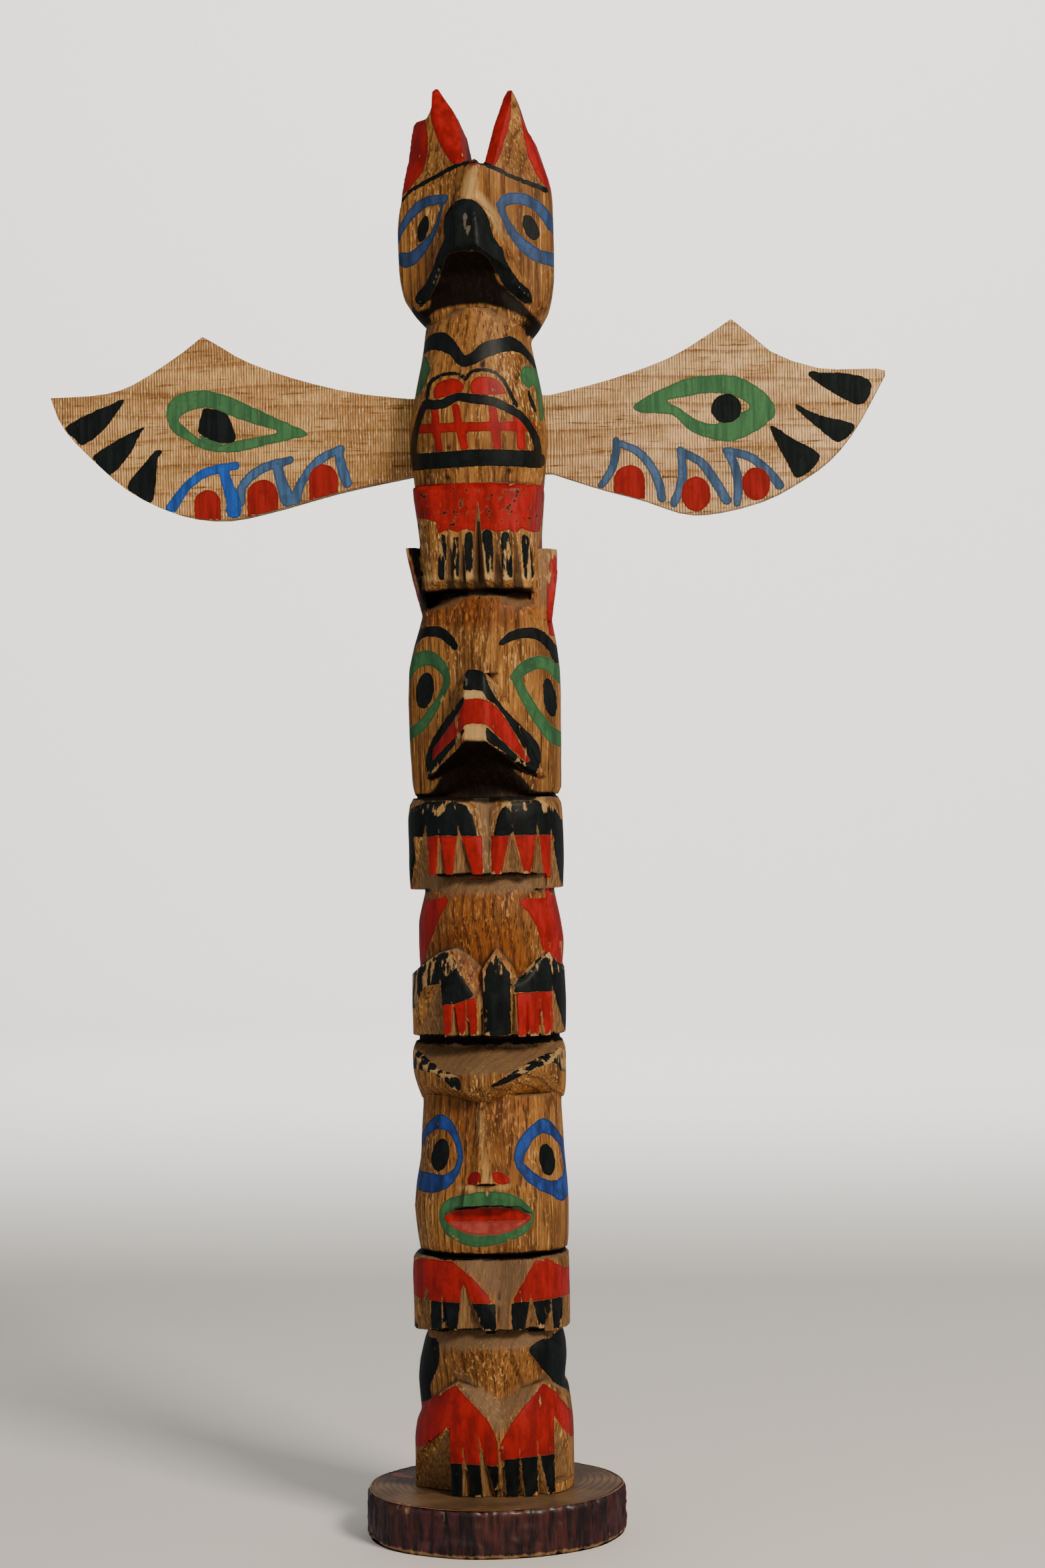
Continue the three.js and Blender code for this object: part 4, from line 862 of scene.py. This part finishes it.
def bark_slice(around, rings, levels):
    """The slice as one grid. A row runs from the top's middle over the rim, down the bark and back to
    the underside's middle: radius = base_radius * swell(turn) - inset(row) - bark depth(turn, height).
    Returns the places, the quads, how much each vertex belongs to the bark, how much of a chip it
    is in, and how far it lies in from the bark."""
    turn = np.linspace(0, 2 * np.pi, around, endpoint=False)
    swell = 1 + sum(share * np.sin(times * turn + phase) for times, phase, share in bark_waves)
    inner = np.linspace(0.02, 1, rings)
    down = np.linspace(0, 1, levels)
    share = np.concatenate([inner * 0.975, np.ones(levels), inner[::-1] * 0.975])
    height = np.concatenate([np.full(rings, 1.0), 1 - down, np.zeros(rings)]) * base_height
    side = np.concatenate([np.zeros(rings), np.ones(levels), np.zeros(rings)])
    near_rim = np.maximum(0, 1 - np.minimum(height, base_height - height) / rim) * side
    radius = base_radius * np.outer(share, swell) - (near_rim * rim)[:, None]
    turns = np.broadcast_to(turn, radius.shape)
    heights = np.broadcast_to(height[:, None], radius.shape)
    bark = np.broadcast_to(side[:, None], radius.shape).ravel()
    inward = np.broadcast_to(((1 - share) * base_radius)[:, None], radius.shape).ravel()
    at = np.stack([np.cos(turns) * base_radius, np.sin(turns) * base_radius, heights], axis=2)
    at = at.reshape(-1, 3)
    ridges = np.abs(noise(at / (3.2, 3.2, 14), 21)) + 0.5 * np.abs(noise(at / (1.6, 1.6, 5), 22))
    plates = np.clip(noise(at / (8, 8, 9), 23) * 3 - 0.6, 0, 1)
    chips = np.clip(noise(at / (4, 4, 3.4), 24) * 4 - 2.1, 0, 1)
    chips *= np.clip(np.abs(at[:, 2] - 10) / 6 - 0.3, 0.15, 1)
    depth = bark * (0.1 + 1.2 * ridges + 0.8 * plates + 1.5 * chips)
    radius = radius.ravel() - depth
    turns = turns.ravel()
    rows = np.stack([np.cos(turns) * radius, np.sin(turns) * radius, heights.ravel()], axis=1)
    lift = (1 - bark) * (heights.ravel() > 1) * (0.12 * noise(rows / (6, 6, 1), 25) - 0.16)
    rows[:, 2] += lift
    quads = ring_quads(len(share), around)[:, [0, 3, 2, 1]]
    return rows, quads, bark, chips * bark, inward


bark_steps = 420
rows, quads, bark, chips, inward = bark_slice(bark_steps, 26, 22)
mesh = bpy.data.meshes.new("bark_slice")
corners = list(range(len(rows)))
caps = [corners[:bark_steps], corners[:-bark_steps - 1:-1]]
mesh.from_pydata((rows / 1000).tolist(), [], quads.tolist() + caps)
mesh.update()
mesh.shade_smooth()
mesh.set_sharp_from_angle(angle=math.radians(48))
write_values(mesh, "bark", bark)
write_values(mesh, "chip", chips)
write_values(mesh, "inward", inward)
smears = [stroke((3, 4.6, 3), (-46, 19), (-43, 15), (-38, 11)), oval(-45, 8, 1.6, 1.2)]
write_values(mesh, "smear", coat(smears, rows[:, 0], rows[:, 1]) + 8 * bark)

# Oiled end grain with rings 2.9 mm apart round the pith, and dark red-brown bark, ridged upright,
# with paler chips where it has broken away.
slice_wood = bpy.data.materials.new("bark_and_end_grain")
slice_wood.use_nodes = True
tree = slice_wood.node_tree
drift = speckle(tree, (25, 25, 1000))
away = add(tree, "Math", drift, 0.005, from_pith(tree, 4, 6), operation="MULTIPLY_ADD")
line = growth_lines(tree, away, 2.9, 0.4, 0.9)
pores = speckle(tree, (1.111, 1.111, 1.111), 3.0, 0.6)
cloud = speckle(tree, (22.22, 22.22, 22.22), 3.0)
grain = toned(tree, linear("#4b3928"), cloud, 0.3, 0.7, "#7c5e40")
grain = add(tree, "Mix", add(tree, "Math", line, 0.6, operation="MULTIPLY"), grain, linear("#33241a"))
sapwood = add(tree, "Math", pores, 1.6, "inward", operation="MULTIPLY_ADD")
grain = toned(tree, grain, sapwood, 3.2, 1.9, "#8a6438")
upright = speckle(tree, (3.333, 3.333, 25), 5.0, 0.7)
rind = toned(tree, linear("#0e0404"), upright, 0.36, 0.66, "#4a1a19")
rind = toned(tree, rind, cloud, 0.52, 0.74, "#4c2018")
chipped = add(tree, "Math", upright, 0.3, "chip", operation="MULTIPLY_ADD")
rind = toned(tree, rind, chipped, 0.55, 0.9, "#8d6a4c")
high = add(tree, "SeparateXYZ", add(tree, "TexCoord", output="Object"), output="Z")
low_rim = add(tree, "Math", upright, -0.004, high, operation="MULTIPLY_ADD")
rind = toned(tree, rind, low_rim, 0.0002, -0.0010, "#94704a")
shade = add(tree, "Mix", add(tree, "MapRange", "bark", 0.4, 0.6), grain, rind)
patchy = add(tree, "Math", pores, 2.0, -1.0, operation="MULTIPLY_ADD")
smear = add(tree, "Math", "smear", patchy, operation="ADD")
shade = toned(tree, shade, smear, 0.2, -0.2, "#b4401f")
height = add(tree, "Math", pores, 0.1, operation="MULTIPLY")
height = add(tree, "Math", upright, 0.35, height, operation="MULTIPLY_ADD")
shader = tree.nodes["Principled BSDF"]
tree.links.new(shade, shader.inputs["Base Color"])
tree.links.new(add(tree, "Bump", 0.8, 0.001, None, height), shader.inputs["Normal"])
shader.inputs["Roughness"].default_value = 0.5
shader.inputs["Specular IOR Level"].default_value = 0.4
shader.inputs["Coat Weight"].default_value = 0.3
shader.inputs["Coat Roughness"].default_value = 0.3
mesh.materials.append(slice_wood)
base = placed("bark_slice", mesh)
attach(base, "root")
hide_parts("base")


# Floor: a plain pale sweep that rises all round, far outside the object. Reflections leave it out,
# so that it lays no white veil along the edges of the enamel.
def sweep(around, rings):
    """A flat disc to 3 m that curves up into a wall: height = 1.2 * (1 - cos(a)) past it, with the
    radius growing by 1.2 * sin(a), and then straight up."""
    a = np.clip(np.linspace(-1, 1, rings), 0, 1) * np.pi / 2
    flat = np.clip(np.linspace(0.001, 2, rings), 0, 1) * 3
    radius = flat + 1.2 * np.sin(a)
    height = 1.2 * (1 - np.cos(a))
    radius = np.append(radius, radius[-1])
    height = np.append(height, 3.0)
    turn = np.linspace(0, 2 * np.pi, around, endpoint=False)
    rows = np.stack([np.outer(radius, np.cos(turn)), np.outer(radius, np.sin(turn)),
                     np.outer(height, np.ones(around))], axis=2).reshape(-1, 3)
    return rows, ring_quads(rings + 1, around)


rows, quads = sweep(96, 40)
mesh = bpy.data.meshes.new("floor")
mesh.from_pydata(rows.tolist(), [], quads.tolist() + [list(range(96))])
mesh.shade_smooth()
plaster = bpy.data.materials.new("pale_floor")
plaster.use_nodes = True
plaster.node_tree.nodes["Principled BSDF"].inputs["Base Color"].default_value = linear("#eceae6")
plaster.node_tree.nodes["Principled BSDF"].inputs["Roughness"].default_value = 0.8
mesh.materials.append(plaster)
floor = placed("floor", mesh)
floor.visible_glossy = False


# Light: a large soft key from the upper right, a weaker fill from the left, a broad lamp that only
# lights the wall behind, and an even pale sky.
for name, place, target, size, power, colour in (
        ("key", (1.08, -1.24, 1.3), (0, 0, 0.32), 0.5, 41, "#fff1dc"),
        ("fill", (-1.3, -1.2, 0.7), (0, 0, 0.32), 1.2, 2, "#eef2ff"),
        ("backdrop", (0, 1.6, 2.2), (0, 4, 1.2), 2.0, 165, "#ffffff")):
    lamp = bpy.data.lights.new(name, "AREA")
    lamp.size = size
    lamp.energy = power
    lamp.color = linear(colour)[:3]
    light = placed(name, lamp)
    light.location = place
    light.rotation_euler = (Vector(target) - light.location).to_track_quat("-Z", "Y").to_euler()
sky = bpy.data.worlds.new("sky")
sky.use_nodes = True
sky.node_tree.nodes["Background"].inputs[0].default_value = linear("#f2f2f2")
sky.node_tree.nodes["Background"].inputs[1].default_value = 0.22
bpy.context.scene.world = sky
